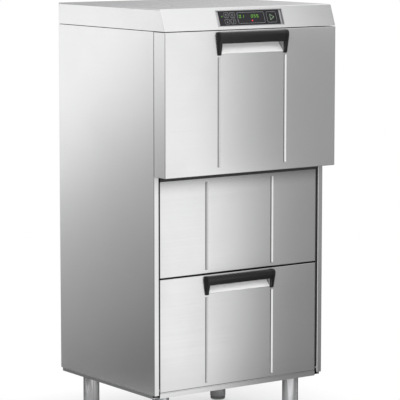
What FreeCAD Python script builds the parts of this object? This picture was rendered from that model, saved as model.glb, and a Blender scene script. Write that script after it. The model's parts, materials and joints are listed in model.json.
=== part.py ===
import FreeCAD, Part
import math
import os
import Sketcher

# Free-standing front-loading dishwasher, in millimetres. +Z is up, the front faces -Y, and the origin is on
# the floor under the middle of the overall box.

DRIVING_SIZES = {
    # Cabinet: the outside sizes and the stack of fronts, from the floor up
    "cabinet_width": 600,
    "body_depth": 504,
    "door_depth": 56,
    "handle_reach": 14,
    "leg_height": 145,
    "side_lift": 10,
    "sill_height": 13,
    "sill_gap": 3,
    "lower_door_height": 325,
    "panel_gap": 4,
    "middle_height": 285.5,
    "door_gap": 5,
    "door_height": 406,
    "cover_gap": 2,
    "cover_height": 61.5,
    "fascia_setback": 23,
    "panel_setback": 4,
    "side_gap": 5,
    # Sheet metal
    "skin_gauge": 1.2,
    "bend_radius": 2,
    "cover_edge_radius": 4,
    "front_return": 17,
    "return_depth": 16,
    "rear_return": 16,
    "panel_return": 10,
    # Pressed creases in the fronts
    "crease_spacing": 232,
    "crease_width": 10.5,
    "crease_depth": 1.4,
    "crease_end": 11,
    "crease_clear": 21,
    "crease_head": 5,
    "crease_backing": 17,
    # Base tray, legs and feet
    "tray_gauge": 1.5,
    "tray_wall": 40,
    "tray_rear_inset": 8,
    "leg_radius": 24,
    "leg_wall": 1.5,
    "leg_inset": 66,
    "leg_plug": 30,
    "foot_height": 11.5,
    "foot_gap": 0.5,
    "foot_radius": 23,
    "foot_rim_radius": 5,
    "stem_radius": 8,
    "stem_length": 55,
    # Rear panel, its vents and the connection niche
    "niche_height": 185,
    "niche_depth": 50,
    "vent_length": 90,
    "vent_slot": 6,
    "vent_pitch": 16,
    "vent_offset": 130,
    "vent_low": 560,
    # Wash tub and what seals it
    "tub_side_gap": 38,
    "tub_gauge": 1,
    "flange_setback": 3,
    "tub_rear_gap": 15.6,
    "ledge_rise": 2.5,
    "tank_height": 93,
    "tub_top_gap": 4.5,
    "opening_margin": 6,
    "opening_sill": 22.5,
    "opening_head": 13,
    "gasket_margin": 2,
    "gasket_width": 8,
    "gasket_gap": 0.3,
    "sump_x": 110,
    "sump_back": 110,
    "sump_radius": 55,
    "sump_depth": 50,
    "sump_lip": 8,
    # Rack rails, filter, overflow and heater
    "rail_width": 18,
    "rail_rise": 30,
    "rail_gauge": 1.5,
    "rail_over_sill": 3,
    "rail_front_gap": 12,
    "rail_length": 435,
    "filter_rise": 47,
    "filter_gauge": 2,
    "filter_margin": 3,
    "filter_slot": 6,
    "filter_slot_length": 46,
    "filter_pitch_x": 56,
    "filter_pitch_y": 34,
    "overflow_radius": 18,
    "overflow_cap": 24,
    "overflow_height": 84,
    "overflow_inset": 60,
    "heater_radius": 5,
    "heater_rise": 21,
    "heater_span": 110,
    "heater_reach": 180,
    # Spray arms, their spindles and the riser duct
    "duct_width": 60,
    "duct_depth": 18,
    "duct_wall": 2,
    "spindle_base_radius": 36,
    "spindle_base_height": 6,
    "pedestal_radius": 20,
    "pedestal_height": 50,
    "wash_shaft_radius": 13,
    "rinse_shaft_radius": 9,
    "nut_shaft_radius": 6,
    "wash_hub_height": 33,
    "rinse_hub_height": 15.2,
    "nut_height": 7.7,
    "nut_radius": 12,
    "running_clearance": 0.05,
    "hub_gap": 0.5,
    "arm_reach": 186,
    "arm_root": 52,
    "arm_tip": 30,
    "arm_thickness": 16,
    "arm_edge_radius": 5,
    "arm_nozzle_pitch": 32,
    "arm_nozzle_radius": 4,
    "arm_nozzle_depth": 2,
    "wash_hub_radius": 24,
    "rinse_hub_radius": 18,
    "rinse_tube_radius": 6.5,
    # Pumps and pipes under the tub
    "volute_radius": 62,
    "volute_width": 46,
    "volute_wall": 6,
    "pump_offset": 50,
    "pump_drop": 115,
    "pump_shaft_radius": 7,
    "pump_shaft_length": 46,
    "impeller_radius": 46,
    "impeller_disc": 6,
    "impeller_vane": 10,
    "impeller_gap": 4,
    "port_radius": 20,
    "port_length": 22,
    "delivery_radius": 17,
    "pipe_wall": 2.5,
    "motor_radius": 55,
    "motor_length": 175,
    "motor_foot_width": 80,
    "motor_foot_inset": 30,
    "suction_radius": 15,
    "suction_drop": 15,
    "branch_drop": 22,
    "branch_radius": 8,
    "drain_radius": 9,
    "drain_pump_radius": 32,
    "drain_pump_length": 90,
    "drain_inset": 83.8,
    "drain_pump_rise": 75,
    "drain_port": 12,
    "drain_port_drop": 30,
    "drain_hose_back": 27,
    "hose_hole": 3,
    # Equipment shelf, boiler, dosing pumps and electrics
    "shelf_gauge": 1.5,
    "shelf_flange": 28,
    "boiler_radius": 80,
    "boiler_head_gap": 29.5,
    "boiler_foot": 24,
    "boiler_dome_radius": 24,
    "boiler_inset": 98,
    "boiler_back_gap": 20,
    "boiler_port": 10,
    "boiler_port_radius": 12,
    "feed_radius": 7,
    "dosing_width": 58,
    "dosing_depth": 62,
    "dosing_height": 90,
    "dosing_pitch": 80,
    "dosing_rise": 150,
    "dosing_back": 90,
    "dosing_head_radius": 26,
    "dosing_head_length": 16,
    "electrics_width": 150,
    "electrics_depth": 120,
    "electrics_height": 150,
    "electrics_inset": 16,
    "electrics_front": 50,
    "electrics_edge_radius": 4,
    # Rear connections
    "connection_rise": 75,
    "inlet_spacing": 125,
    "inlet_thread_radius": 13.2,
    "inlet_thread_length": 22,
    "inlet_collar_radius": 18,
    "inlet_body": 44,
    "coil_radius": 16,
    "coil_height": 38,
    "spigot_radius": 14,
    "spigot_bore": 11,
    "spigot_length": 34,
    "spigot_collar_radius": 21,
    "spigot_collar": 4,
    "gland_spacing": 150,
    "gland_radius": 12,
    "gland_bore": 6,
    "gland_length": 24,
    "gland_nut_radius": 15,
    "gland_nut": 5,
    "hole_clearance": 0.4,
    # Wash door: skin, liner and its finger recess
    "door_seam": 2.5,
    "dish_depth": 37.5,
    "dish_margin": 6,
    "dish_low": 25,
    "dish_height": 304,
    "recess_width": 220,
    "recess_depth": 26,
    "recess_head": 9,
    "recess_slope": 28,
    # Handles
    "handle_width": 242,
    "handle_drop": 4,
    "handle_bar": 33,
    "handle_tail": 66,
    "lower_handle_bar": 27,
    "lower_handle_tail": 55,
    "handle_brow": 15,
    "handle_inset": 1,
    "handle_lip": 8,
    "handle_lip_radius": 2.5,
    "handle_roof": 6,
    "handle_cheek": 9.5,
    "handle_tip": 4,
    "handle_tip_radius": 3,
    "handle_nose_radius": 9,
    "handle_edge_radius": 2,
    # Wash door hinge: fixed brackets with pins, moving arms and a torsion bar between the brackets
    "hinge_forward": 14,
    "hinge_rise": 7,
    "hinge_pin_radius": 4,
    "hinge_pin_length": 12,
    "hinge_ear": 4,
    "hinge_ear_radius": 5.5,
    "hinge_ear_inset": 15,
    "hinge_foot": 3,
    "hinge_foot_width": 13,
    "hinge_foot_height": 30,
    "hinge_foot_rise": 1.5,
    "hinge_notch_height": 36,
    "hinge_notch_width": 16,
    "hinge_arm": 5.8,
    "hinge_arm_height": 84,
    "hinge_arm_depth": 40,
    "hinge_arm_gap": 2.5,
    "torsion_bar_radius": 5,
    "fit_gap": 0.3,
    "notch_gap": 1.5,
    # Lower door and its pins
    "lower_door_depth": 34,
    "lower_hinge_inset": 8,
    "lower_pin_radius": 3.5,
    "lower_pin_length": 17,
    "lower_collar_radius": 7,
    "lower_collar": 4,
    # Control panel on the fascia
    "bezel_width": 234,
    "bezel_height": 49,
    "bezel_depth": 6,
    "bezel_rim": 2,
    "bezel_floor": 2.5,
    "bezel_gap": 0.3,
    "glass_width": 209,
    "glass_height": 44,
    "glass_thickness": 3,
    "window_margin": 4,
    "key_width": 18,
    "key_height": 16,
    "key_row": 19,
    "key_column_one": 23,
    "key_column_two": 44,
    "start_width": 42,
    "start_height": 34,
    "start_column": 178,
    "key_gap": 0.3,
    "key_proud": 0.2,
    "key_flange": 0.8,
    "key_flange_depth": 1.2,
    "key_corner_radius": 2.5,
    "key_stem_radius": 2,
    "key_stem": 3.5,
    "key_travel": 0.8,
    "switch_gap": 0.1,
    "switch_width": 6,
    "switch_height": 2.6,
    "board_gauge": 1.6,
    "board_overhang": 3,
    "board_post_radius": 3,
    "display_width": 96,
    "display_height": 34,
    "display_column": 108,
}

# Counts
VENT_ROWS = 6
FILTER_COLUMNS = 6
FILTER_ROWS = 10
NOZZLES_PER_SIDE = 4
IMPELLER_VANES = 6

# Reach of a cutting solid past the face that it opens
OVERCUT = 20

doc = FreeCAD.newDocument("dishwasher")
sheet = doc.addObject("Spreadsheet::Sheet", "dims")
for row, (alias, number) in enumerate(DRIVING_SIZES.items(), start=1):
    sheet.set(f"A{row}", str(number))
    sheet.setAlias(f"A{row}", alias)
doc.recompute()

subparts = {}


class Size:
    """A length that carries its expression over the sheet and its present value."""

    def __init__(self, text, value):
        self.text = text
        self.value = value

    def __add__(self, other):
        other = size_of(other)
        return Size(f"({self.text} + {other.text})", self.value + other.value)

    def __sub__(self, other):
        other = size_of(other)
        return Size(f"({self.text} - {other.text})", self.value - other.value)

    def __rsub__(self, other):
        return size_of(other) - self

    def __mul__(self, factor):
        factor = size_of(factor)
        return Size(f"({self.text} * {factor.text})", self.value * factor.value)

    def __truediv__(self, divisor):
        divisor = size_of(divisor)
        return Size(f"({self.text} / {divisor.text})", self.value / divisor.value)

    def __neg__(self):
        return Size(f"(-{self.text})", -self.value)

    __radd__ = __add__
    __rmul__ = __mul__


def size_of(number):
    """A plain number as a Size, so that both can stand in one sum."""
    if isinstance(number, Size):
        return number
    return Size(f"({float(number)})", float(number))


class SheetSizes:
    """Each driving dimension of the sheet, by its alias."""

    def __getattr__(self, alias):
        return Size(f"dims.{alias}", float(sheet.get(alias)))


d = SheetSizes()


def bind(item, prop, size):
    item.setExpression(prop, size_of(size).text)


def place(item, x, y, z):
    for prop, size in (("x", x), ("y", y), ("z", z)):
        bind(item, f"Placement.Base.{prop}", size)
    return item


def aim(item, axis):
    """Turn an item that stands along Z so that it points along the named axis."""
    turns = {"X": ((0, 1, 0), 90), "Y": ((1, 0, 0), -90), "Z": ((0, 0, 1), 0)}
    turn, degrees = turns[axis]
    item.Placement.Rotation = FreeCAD.Rotation(FreeCAD.Vector(*turn), degrees)
    return item


def box(name, x, y, z):
    """A block that spans the (low, high) pairs x, y and z."""
    block = doc.addObject("Part::Box", name)
    for prop, (low, high) in zip(("Length", "Width", "Height"), (x, y, z)):
        bind(block, prop, size_of(high) - low)
    return place(block, x[0], y[0], z[0])


def rod(name, radius, axis, start, length):
    """A round bar from start along the named axis."""
    bar = doc.addObject("Part::Cylinder", name)
    bind(bar, "Radius", radius)
    bind(bar, "Height", length)
    return place(aim(bar, axis), *start)


def cut(name, base, *tools):
    for tool in tools:
        step = doc.addObject("Part::Cut", name)
        step.Base = base
        step.Tool = tool
        base = step
    return base


def fuse(name, *shapes):
    joined = doc.addObject("Part::MultiFuse", name)
    joined.Shapes = list(shapes)
    joined.Refine = True
    return joined


def group(name, *shapes):
    """Separate solids that belong to one sub-part."""
    held = doc.addObject("Part::Compound", name)
    held.Links = list(shapes)
    return held


def mirrored(name, source):
    """The same piece on the other side of the machine's middle plane."""
    twin = doc.addObject("Part::Mirroring", name)
    twin.Source = source
    twin.Normal = FreeCAD.Vector(1, 0, 0)
    return twin


def pair(name, source):
    return group(name, source, mirrored(f"{name}_twin", source))


def outline(body, role, corners, offset=None):
    """A closed sketch whose corners are bound to the sheet, on one of the body's own planes."""
    sketch = body.newObject("Sketcher::SketchObject", f"{body.Name}_outline")
    plane = [feature for feature in body.Origin.OriginFeatures if feature.Role == role][0]
    sketch.AttachmentSupport = [(plane, "")]
    sketch.MapMode = "FlatFace"
    corners = [(size_of(u), size_of(v)) for u, v in corners]
    points = [FreeCAD.Vector(u.value, v.value, 0) for u, v in corners]
    count = len(points)
    for index in range(count):
        sketch.addGeometry(Part.LineSegment(points[index], points[(index + 1) % count]))
    for index in range(count):
        sketch.addConstraint(Sketcher.Constraint("Coincident", index, 2, (index + 1) % count, 1))
    for index, sizes in enumerate(corners):
        for kind, size in zip(("DistanceX", "DistanceY"), sizes):
            tie = sketch.addConstraint(Sketcher.Constraint(kind, -1, 1, index, 1, size.value))
            sketch.setExpression(f"Constraints[{tie}]", size.text)
    if offset is not None:
        bind(sketch, "AttachmentOffset.Base.z", offset)
    return sketch


def add_pad(body, role, corners, length, offset=None):
    """Pad an outline along its plane's normal: both ways from the plane, or one way from an offset."""
    sketch = outline(body, role, corners, offset)
    pad = body.newObject("PartDesign::Pad", f"{body.Name}_pad")
    pad.Profile = sketch
    bind(pad, "Length", length)
    if offset is None:
        pad.SideType = "Symmetric"
    return pad


def padded(name, role, corners, length, offset=None):
    body = doc.addObject("PartDesign::Body", name)
    add_pad(body, role, corners, length, offset)
    return body


def turned(name, corners, at, axis="Z"):
    """A lathe-turned piece from its (radius, height) outline."""
    body = doc.addObject("PartDesign::Body", name)
    sketch = outline(body, "XZ_Plane", corners)
    spin = body.newObject("PartDesign::Revolution", f"{name}_turn")
    spin.Profile = sketch
    spin.ReferenceAxis = (sketch, ["V_Axis"])
    spin.Angle = 360
    return place(aim(body, axis), *at)


def round_edges(body, radius, wanted):
    """Fillet the edges of a body's last feature that pass the test."""
    doc.recompute()
    base = body.Tip
    names = [f"Edge{index + 1}" for index, edge in enumerate(base.Shape.Edges) if wanted(edge)]
    fillet = body.newObject("PartDesign::Fillet", f"{body.Name}_fillet")
    fillet.Base = (base, names)
    bind(fillet, "Radius", radius)
    return body


def runs_along(edge, axis):
    """Whether an edge is a straight line along the named axis."""
    if not isinstance(edge.Curve, Part.Line):
        return False
    return abs(getattr(edge.tangentAt(edge.FirstParameter), axis.lower())) > 0.999


def near(value, size):
    return abs(value - size_of(size).value) < 0.001


def middle(edge):
    return edge.BoundBox.Center


def hose(name, radius, points, bore=None):
    """A round hose along straight runs joined by arcs; each arc takes 0.45 of its shorter run."""
    spots = [FreeCAD.Vector(*(size_of(part).value for part in point)) for point in points]
    edges = []
    start = spots[0]
    for before, corner, after in zip(spots, spots[1:], spots[2:]):
        back = before - corner
        ahead = after - corner
        trim = 0.45 * min(back.Length, ahead.Length)
        back.normalize()
        ahead.normalize()
        half = back.getAngle(ahead) / 2
        bend = trim * math.tan(half)
        inward = (back + ahead).normalize()
        crown = corner + inward * (bend / math.sin(half) - bend)
        edges.append(Part.LineSegment(start, corner + back * trim).toShape())
        edges.append(Part.Arc(corner + back * trim, crown, corner + ahead * trim).toShape())
        start = corner + ahead * trim
    edges.append(Part.LineSegment(start, spots[-1]).toShape())
    path = Part.Wire(edges)

    def swept(section_radius):
        circle = Part.Circle(spots[0], spots[1] - spots[0], section_radius.value)
        return path.makePipeShell([Part.Wire(circle.toShape())], True, False)

    tube = swept(radius)
    expected = math.pi * radius.value ** 2 * path.Length
    print(f"{name}: volume {tube.Volume:.1f}, area times length {expected:.1f}")
    if bore is not None:
        tube = tube.cut(swept(bore))
    item = doc.addObject("Part::Feature", name)
    item.Shape = tube
    item.Placement = FreeCAD.Placement()
    return item


def keep(name, item):
    item.Label = name
    subparts[name] = item


# Levels that the pieces share
half_width = d.cabinet_width / 2
rear = (d.body_depth + d.door_depth + d.handle_reach) / 2
side_front = rear - d.body_depth
door_face = side_front - d.door_depth
panel_face = side_front + d.panel_setback
panel_back = panel_face + d.panel_return
panel_half = half_width - d.front_return - d.side_gap
side_inside = half_width - d.skin_gauge
return_inside = half_width - d.front_return

base_low = d.leg_height
tray_floor = base_low + d.tray_gauge
side_low = base_low + d.side_lift
sill_top = base_low + d.sill_height
lower_low = sill_top + d.sill_gap
lower_top = lower_low + d.lower_door_height
middle_low = lower_top + d.panel_gap
middle_top = middle_low + d.middle_height
door_low = middle_top + d.door_gap
door_top = door_low + d.door_height
cover_low = door_top + d.cover_gap
cover_top = cover_low + d.cover_height

rear_panel_back = rear - d.skin_gauge
rear_panel_front = rear_panel_back - d.skin_gauge
niche_top = base_low + d.niche_height
connection_back = rear - d.niche_depth
connection_front = connection_back - d.skin_gauge
connection_level = base_low + d.connection_rise
drain_x = side_inside - d.drain_inset
inlet_x = drain_x - d.inlet_spacing
gland_x = inlet_x - d.gland_spacing
spigot_inner = connection_front - d.spigot_collar * 2
boiler_x = -(side_inside - d.boiler_inset)
boiler_y = connection_front - d.boiler_back_gap - d.boiler_radius
hose_y = spigot_inner - d.drain_hose_back
drain_pump_back = hose_y - d.drain_hose_back - d.drain_port
shelf_low = middle_low
shelf_top = shelf_low + d.shelf_gauge

tub_half = half_width - d.tub_side_gap
tub_inside = tub_half - d.tub_gauge
flange_face = side_front + d.flange_setback
flange_back = flange_face + d.tub_gauge
tub_rear = rear_panel_front - d.tub_rear_gap
tub_rear_inside = tub_rear - d.tub_gauge
tub_ledge = door_low + d.ledge_rise
tub_low = tub_ledge - d.tank_height
tub_floor = tub_low + d.tub_gauge
tub_top = cover_low - d.tub_top_gap
tub_ceiling = tub_top - d.tub_gauge
opening_half = tub_half - d.opening_margin
opening_low = tub_ledge + d.opening_sill
opening_top = tub_top - d.opening_head

door_back = side_front - d.door_seam
dish_face = door_back - d.dish_depth
duct_front = tub_rear_inside - d.duct_depth
arm_y = (dish_face + duct_front) / 2
hinge_y = side_front - d.hinge_forward
hinge_z = door_low + d.hinge_rise
sump_y = arm_y + d.sump_back


def side_panels():
    """Folded side panels, each with a front return and a rear return."""
    for side, name in ((-1, "side_panel_left"), (1, "side_panel_right")):
        outer = half_width * side
        inner = side_inside * side
        lip = return_inside * side
        lip_inner = (return_inside + d.skin_gauge) * side
        rear_lip = (half_width - d.rear_return) * side
        corners = [
            (outer, side_front),
            (outer, rear),
            (rear_lip, rear),
            (rear_lip, rear - d.skin_gauge),
            (inner, rear - d.skin_gauge),
            (inner, side_front + d.skin_gauge),
            (lip_inner, side_front + d.skin_gauge),
            (lip_inner, side_front + d.return_depth),
            (lip, side_front + d.return_depth),
            (lip, side_front),
        ]
        panel = padded(name, "XY_Plane", corners, door_top - side_low, side_low)
        folds = ((outer, side_front), (outer, rear), (lip, side_front))

        def is_fold(edge):
            spot = middle(edge)
            if not runs_along(edge, "Z"):
                return False
            return any(near(spot.x, x) and near(spot.y, y) for x, y in folds)

        keep(name, round_edges(panel, d.bend_radius, is_fold))


def rear_panel():
    half = side_inside - d.cover_edge_radius
    panel = box(
        "rear_sheet",
        (-half, half),
        (rear_panel_front, rear_panel_back),
        (niche_top, cover_low + d.rear_return),
    )
    slots = []
    for side in (-1, 1):
        centre = d.vent_offset * side
        for row in range(VENT_ROWS):
            low = d.vent_low + d.vent_pitch * row
            slots.append(box(
                "vent",
                (centre - d.vent_length / 2, centre + d.vent_length / 2),
                (rear_panel_front - OVERCUT, rear_panel_back + OVERCUT),
                (low, low + d.vent_slot),
            ))
    keep("rear_panel", cut("rear_panel", panel, group("vents", *slots)))


def connection_plate():
    """Upright plate set into the rear, and a roof sheet over it that meets the rear panel."""
    half = side_inside - d.tray_gauge
    roof_low = niche_top - d.skin_gauge
    plate = box(
        "connection_sheet",
        (-half, half),
        (connection_front, connection_back),
        (tray_floor, roof_low),
    )
    roof = box("niche_roof", (-half, half), (connection_front, rear_panel_back), (roof_low, niche_top))
    start = connection_front - OVERCUT
    through = d.skin_gauge + OVERCUT * 2
    holes = [
        rod("inlet_hole", d.inlet_thread_radius + d.hole_clearance, "Y",
            (inlet_x, start, connection_level), through),
        rod("spigot_hole", d.spigot_radius + d.hole_clearance, "Y",
            (drain_x, start, connection_level), through),
        rod("gland_hole", d.gland_radius + d.hole_clearance, "Y",
            (gland_x, start, connection_level), through),
    ]
    upright = cut("connection_upright", plate, *holes)
    keep("connection_plate", group("connection_plate", upright, roof))


def base_tray():
    """Folded tray whose low front sill lies between the side panels' returns."""
    block = box(
        "tray_block",
        (-side_inside, side_inside),
        (panel_face, rear - d.tray_rear_inset),
        (base_low, base_low + d.tray_wall),
    )
    hollow = box(
        "tray_hollow",
        (-(side_inside - d.tray_gauge), side_inside - d.tray_gauge),
        (panel_face + d.tray_gauge, rear - d.tray_rear_inset - d.tray_gauge),
        (tray_floor, base_low + d.tray_wall + OVERCUT),
    )
    front = box(
        "tray_front",
        (-half_width, half_width),
        (panel_face - OVERCUT, side_front + d.lower_door_depth + OVERCUT),
        (sill_top, base_low + d.tray_wall + OVERCUT),
    )
    corner = box(
        "tray_corner",
        (panel_half, half_width),
        (panel_face - OVERCUT, side_front + d.return_depth + d.fit_gap),
        (base_low - OVERCUT, base_low + d.tray_wall + OVERCUT),
    )
    keep("base_tray", cut("base_tray", block, hollow, front, pair("tray_corners", corner)))


def leg_places():
    x = half_width - d.leg_inset
    front = side_front + d.leg_inset
    back = rear - d.leg_inset
    return {
        "front_left": (-x, front),
        "front_right": (x, front),
        "rear_left": (-x, back),
        "rear_right": (x, back),
    }


def legs_and_feet():
    leg_low = d.foot_height + d.foot_gap
    plug_top = leg_low + d.leg_plug
    bore = d.stem_radius + d.running_clearance
    inside = d.leg_radius - d.leg_wall
    tubes = []
    for corner, (x, y) in leg_places().items():
        tubes.append(turned(f"leg_{corner}", [
            (bore, leg_low),
            (d.leg_radius, leg_low),
            (d.leg_radius, base_low),
            (inside, base_low),
            (inside, plug_top),
            (bore, plug_top),
        ], (x, y, 0)))
        foot = turned(f"foot_{corner}", [
            (0, 0),
            (d.foot_radius, 0),
            (d.foot_radius, d.foot_height),
            (d.stem_radius, d.foot_height),
            (d.stem_radius, d.foot_height + d.stem_length),
            (0, d.foot_height + d.stem_length),
        ], (x, y, 0))

        def is_rim(edge):
            return near(edge.BoundBox.ZMax, 0) and near(edge.BoundBox.XMax, d.foot_radius)

        keep(f"foot_{corner}", round_edges(foot, d.foot_rim_radius, is_rim))
    keep("leg_tubes", group("leg_tubes", *tubes))


def fascia_tilt(item):
    """Move a piece that was built upright about the origin to the middle of the sloped fascia."""
    item.Placement.Rotation = FreeCAD.Rotation(FreeCAD.Vector(1, 0, 0), -1)
    lean = f"-atan({d.fascia_setback.text} / {d.cover_height.text})"
    item.setExpression("Placement.Rotation.Angle", lean)
    return place(item, 0, door_face + d.fascia_setback / 2, (cover_low + cover_top) / 2)


def top_cover():
    """Folded cover: sloped fascia, top, sides and rear, with a closed underside over the wash door."""
    gauge = d.skin_gauge
    block = padded("cover_block", "YZ_Plane", [
        (door_face, cover_low),
        (rear, cover_low),
        (rear, cover_top),
        (door_face + d.fascia_setback, cover_top),
    ], d.cabinet_width)

    round_edges(block, d.cover_edge_radius, lambda edge: near(edge.BoundBox.ZMax, cover_top))
    shelf_end = flange_back + d.return_depth
    hollow = padded("cover_hollow", "YZ_Plane", [
        (door_face + gauge * 2, cover_low + gauge),
        (shelf_end, cover_low + gauge),
        (shelf_end, cover_low - OVERCUT),
        (rear - gauge, cover_low - OVERCUT),
        (rear - gauge, cover_top - gauge),
        (door_face + d.fascia_setback + gauge * 2, cover_top - gauge),
    ], (half_width - gauge) * 2)
    inner_radius = d.cover_edge_radius - gauge
    round_edges(hollow, inner_radius, lambda edge: near(edge.BoundBox.ZMax, cover_top - gauge))
    window = fascia_tilt(group("fascia_window", box(
        "fascia_window_box",
        (-d.bezel_width / 2, d.bezel_width / 2),
        (-d.bezel_depth * 2, d.bezel_depth * 2),
        (-d.bezel_height / 2, d.bezel_height / 2),
    )))
    keep("top_cover", cut("top_cover", block, hollow, window))


def key_places():
    """Centre of each key on the fascia, with its width and height."""
    left = -d.glass_width / 2
    row = d.key_row / 2
    small = (d.key_width, d.key_height)
    return {
        "key_power": (left + d.key_column_one, row, *small),
        "key_drain": (left + d.key_column_one, -row, *small),
        "key_program": (left + d.key_column_two, row, *small),
        "key_temperature": (left + d.key_column_two, -row, *small),
        "key_start": (left + d.start_column, size_of(0), d.start_width, d.start_height),
    }


def span(centre, width):
    return (centre - width / 2, centre + width / 2)


def control_panel():
    """Bezel tray, glass, keys and board, built upright with the fascia's face at y = 0."""
    glass_back = d.bezel_depth - d.bezel_floor
    glass_front = glass_back - d.glass_thickness
    outer_width = d.bezel_width - d.bezel_gap * 2
    outer_height = d.bezel_height - d.bezel_gap * 2
    tray = box(
        "bezel_block",
        span(size_of(0), outer_width),
        (0, d.bezel_depth),
        span(size_of(0), outer_height),
    )
    well = box(
        "bezel_well",
        span(size_of(0), outer_width - d.bezel_rim * 2),
        (-OVERCUT, glass_back),
        span(size_of(0), outer_height - d.bezel_rim * 2),
    )
    window = box(
        "bezel_window",
        span(size_of(0), d.glass_width - d.window_margin * 2),
        (0, d.bezel_depth + OVERCUT),
        span(size_of(0), d.glass_height - d.window_margin),
    )
    keep("control_bezel", fascia_tilt(cut("control_bezel", tray, well, window)))

    glass = box(
        "glass_plate",
        span(size_of(0), d.glass_width),
        (glass_front, glass_back),
        span(size_of(0), d.glass_height),
    )
    openings = []
    switches = []
    stem_end = glass_back + d.key_gap + d.key_flange_depth + d.key_stem
    board_front = stem_end + d.key_travel + d.switch_gap + d.switch_height
    for name, (x, z, width, height) in key_places().items():
        openings.append(box(
            f"{name}_opening",
            span(x, width),
            (glass_front - OVERCUT, glass_back + OVERCUT),
            span(z, height),
        ))
        cap = padded(f"{name}_cap", "XZ_Plane", [
            (x - width / 2 + d.key_gap, z - height / 2 + d.key_gap),
            (x + width / 2 - d.key_gap, z - height / 2 + d.key_gap),
            (x + width / 2 - d.key_gap, z + height / 2 - d.key_gap),
            (x - width / 2 + d.key_gap, z + height / 2 - d.key_gap),
        ], d.glass_thickness + d.key_gap + d.key_proud, -(glass_back + d.key_gap))
        round_edges(cap, d.key_corner_radius, lambda edge: runs_along(edge, "Y"))
        flange = box(
            f"{name}_flange",
            span(x, width + d.key_flange),
            (glass_back + d.key_gap, glass_back + d.key_gap + d.key_flange_depth),
            span(z, height + d.key_flange),
        )
        stem_start = glass_back + d.key_gap + d.key_flange_depth
        stem = rod(f"{name}_stem", d.key_stem_radius, "Y", (x, stem_start, z), d.key_stem)
        keep(name, fascia_tilt(fuse(name, cap, flange, stem)))
        switches.append(box(
            f"{name}_switch",
            span(x, d.switch_width),
            (board_front - d.switch_height, board_front),
            span(z, d.switch_width),
        ))
    keep("control_glass", fascia_tilt(cut("control_glass", glass, group("key_openings", *openings))))

    board_half = d.glass_width / 2 + d.board_overhang
    board = box(
        "board_sheet",
        (-board_half, board_half),
        (board_front, board_front + d.board_gauge),
        span(size_of(0), d.glass_height - d.window_margin * 2),
    )
    display = box(
        "display_block",
        span(d.display_column - d.glass_width / 2, d.display_width),
        (glass_back + d.key_gap, board_front),
        span(size_of(0), d.display_height),
    )
    posts = []
    post_x = board_half - d.board_post_radius
    post_z = d.glass_height / 2 - d.window_margin - d.board_post_radius
    for side_x in (-1, 1):
        for side_z in (-1, 1):
            posts.append(rod(
                "board_post",
                d.board_post_radius,
                "Y",
                (post_x * side_x, d.bezel_depth, post_z * side_z),
                board_front - d.bezel_depth,
            ))
    keep("control_board", fascia_tilt(fuse("control_board", board, display, *switches, *posts)))


def crease_bars(face, low, top):
    """Wedges whose cut leaves two shallow V creases in a front face."""
    bars = []
    for side in (-1, 1):
        centre = d.crease_spacing / 2 * side
        left = centre - d.crease_width / 2
        right = centre + d.crease_width / 2
        bars.append(padded("crease_bar", "XY_Plane", [
            (left, face - OVERCUT),
            (right, face - OVERCUT),
            (right, face),
            (centre, face + d.crease_depth),
            (left, face),
        ], top - low, low))
    return group("crease_bars", *bars)


def crease_backings(face, low, top):
    """Sheet that is folded inward behind the two creases."""
    strips = []
    for side in (-1, 1):
        strips.append(box(
            "crease_backing",
            span(d.crease_spacing / 2 * side, d.crease_backing),
            (face, face + d.crease_depth + d.skin_gauge),
            (low, top),
        ))
    return strips


def pan(name, half, face, back, low, top):
    """A folded front: a face with four walls, open at the back."""
    gauge = d.skin_gauge
    block = padded(f"{name}_block", "XZ_Plane", [
        (-half, low),
        (half, low),
        (half, top),
        (-half, top),
    ], back - face, -back)

    def is_front_edge(edge):
        return near(edge.BoundBox.YMax, face)

    def is_fold(edge):
        return is_front_edge(edge) or runs_along(edge, "Y")

    round_edges(block, d.bend_radius, is_fold)
    hollow = box(
        f"{name}_hollow",
        (-(half - gauge), half - gauge),
        (face + gauge, back + OVERCUT),
        (low + gauge, top - gauge),
    )
    return cut(f"{name}_pan", block, hollow)


def middle_panel():
    sheet_pan = pan("middle", panel_half, panel_face, panel_back, middle_low, middle_top)
    low = middle_low + d.crease_end
    top = middle_top - d.crease_clear
    backed = fuse("middle_backed", sheet_pan, *crease_backings(panel_face, low, top))
    keep("middle_panel", cut("middle_panel", backed, crease_bars(panel_face, low, top)))


def front_with_recess(name, half, face, back, low, top, tail_length, crease_end):
    """A folded front with two creases and a finger recess behind its handle."""
    gauge = d.skin_gauge
    sheet_pan = pan(name, half, face, back, low, top)
    crease_low = low + crease_end
    crease_top = top - d.handle_drop - tail_length - d.crease_head
    foot = top - tail_length
    head = top - d.recess_head
    deep = face + d.recess_depth
    shell = padded(f"{name}_recess_shell", "YZ_Plane", [
        (face, foot - gauge),
        (face + gauge, foot - gauge),
        (deep + gauge, foot + d.recess_slope - gauge),
        (deep + gauge, head + gauge),
        (face, head + gauge),
    ], d.recess_width + gauge * 2)
    well = padded(f"{name}_recess_well", "YZ_Plane", [
        (face - OVERCUT, foot),
        (face, foot),
        (deep, foot + d.recess_slope),
        (deep, head),
        (face - OVERCUT, head),
    ], d.recess_width)
    backed = fuse(f"{name}_backed", sheet_pan, shell, *crease_backings(face, crease_low, crease_top))
    return cut(f"{name}_front", backed, well, crease_bars(face, crease_low, crease_top))


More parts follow.
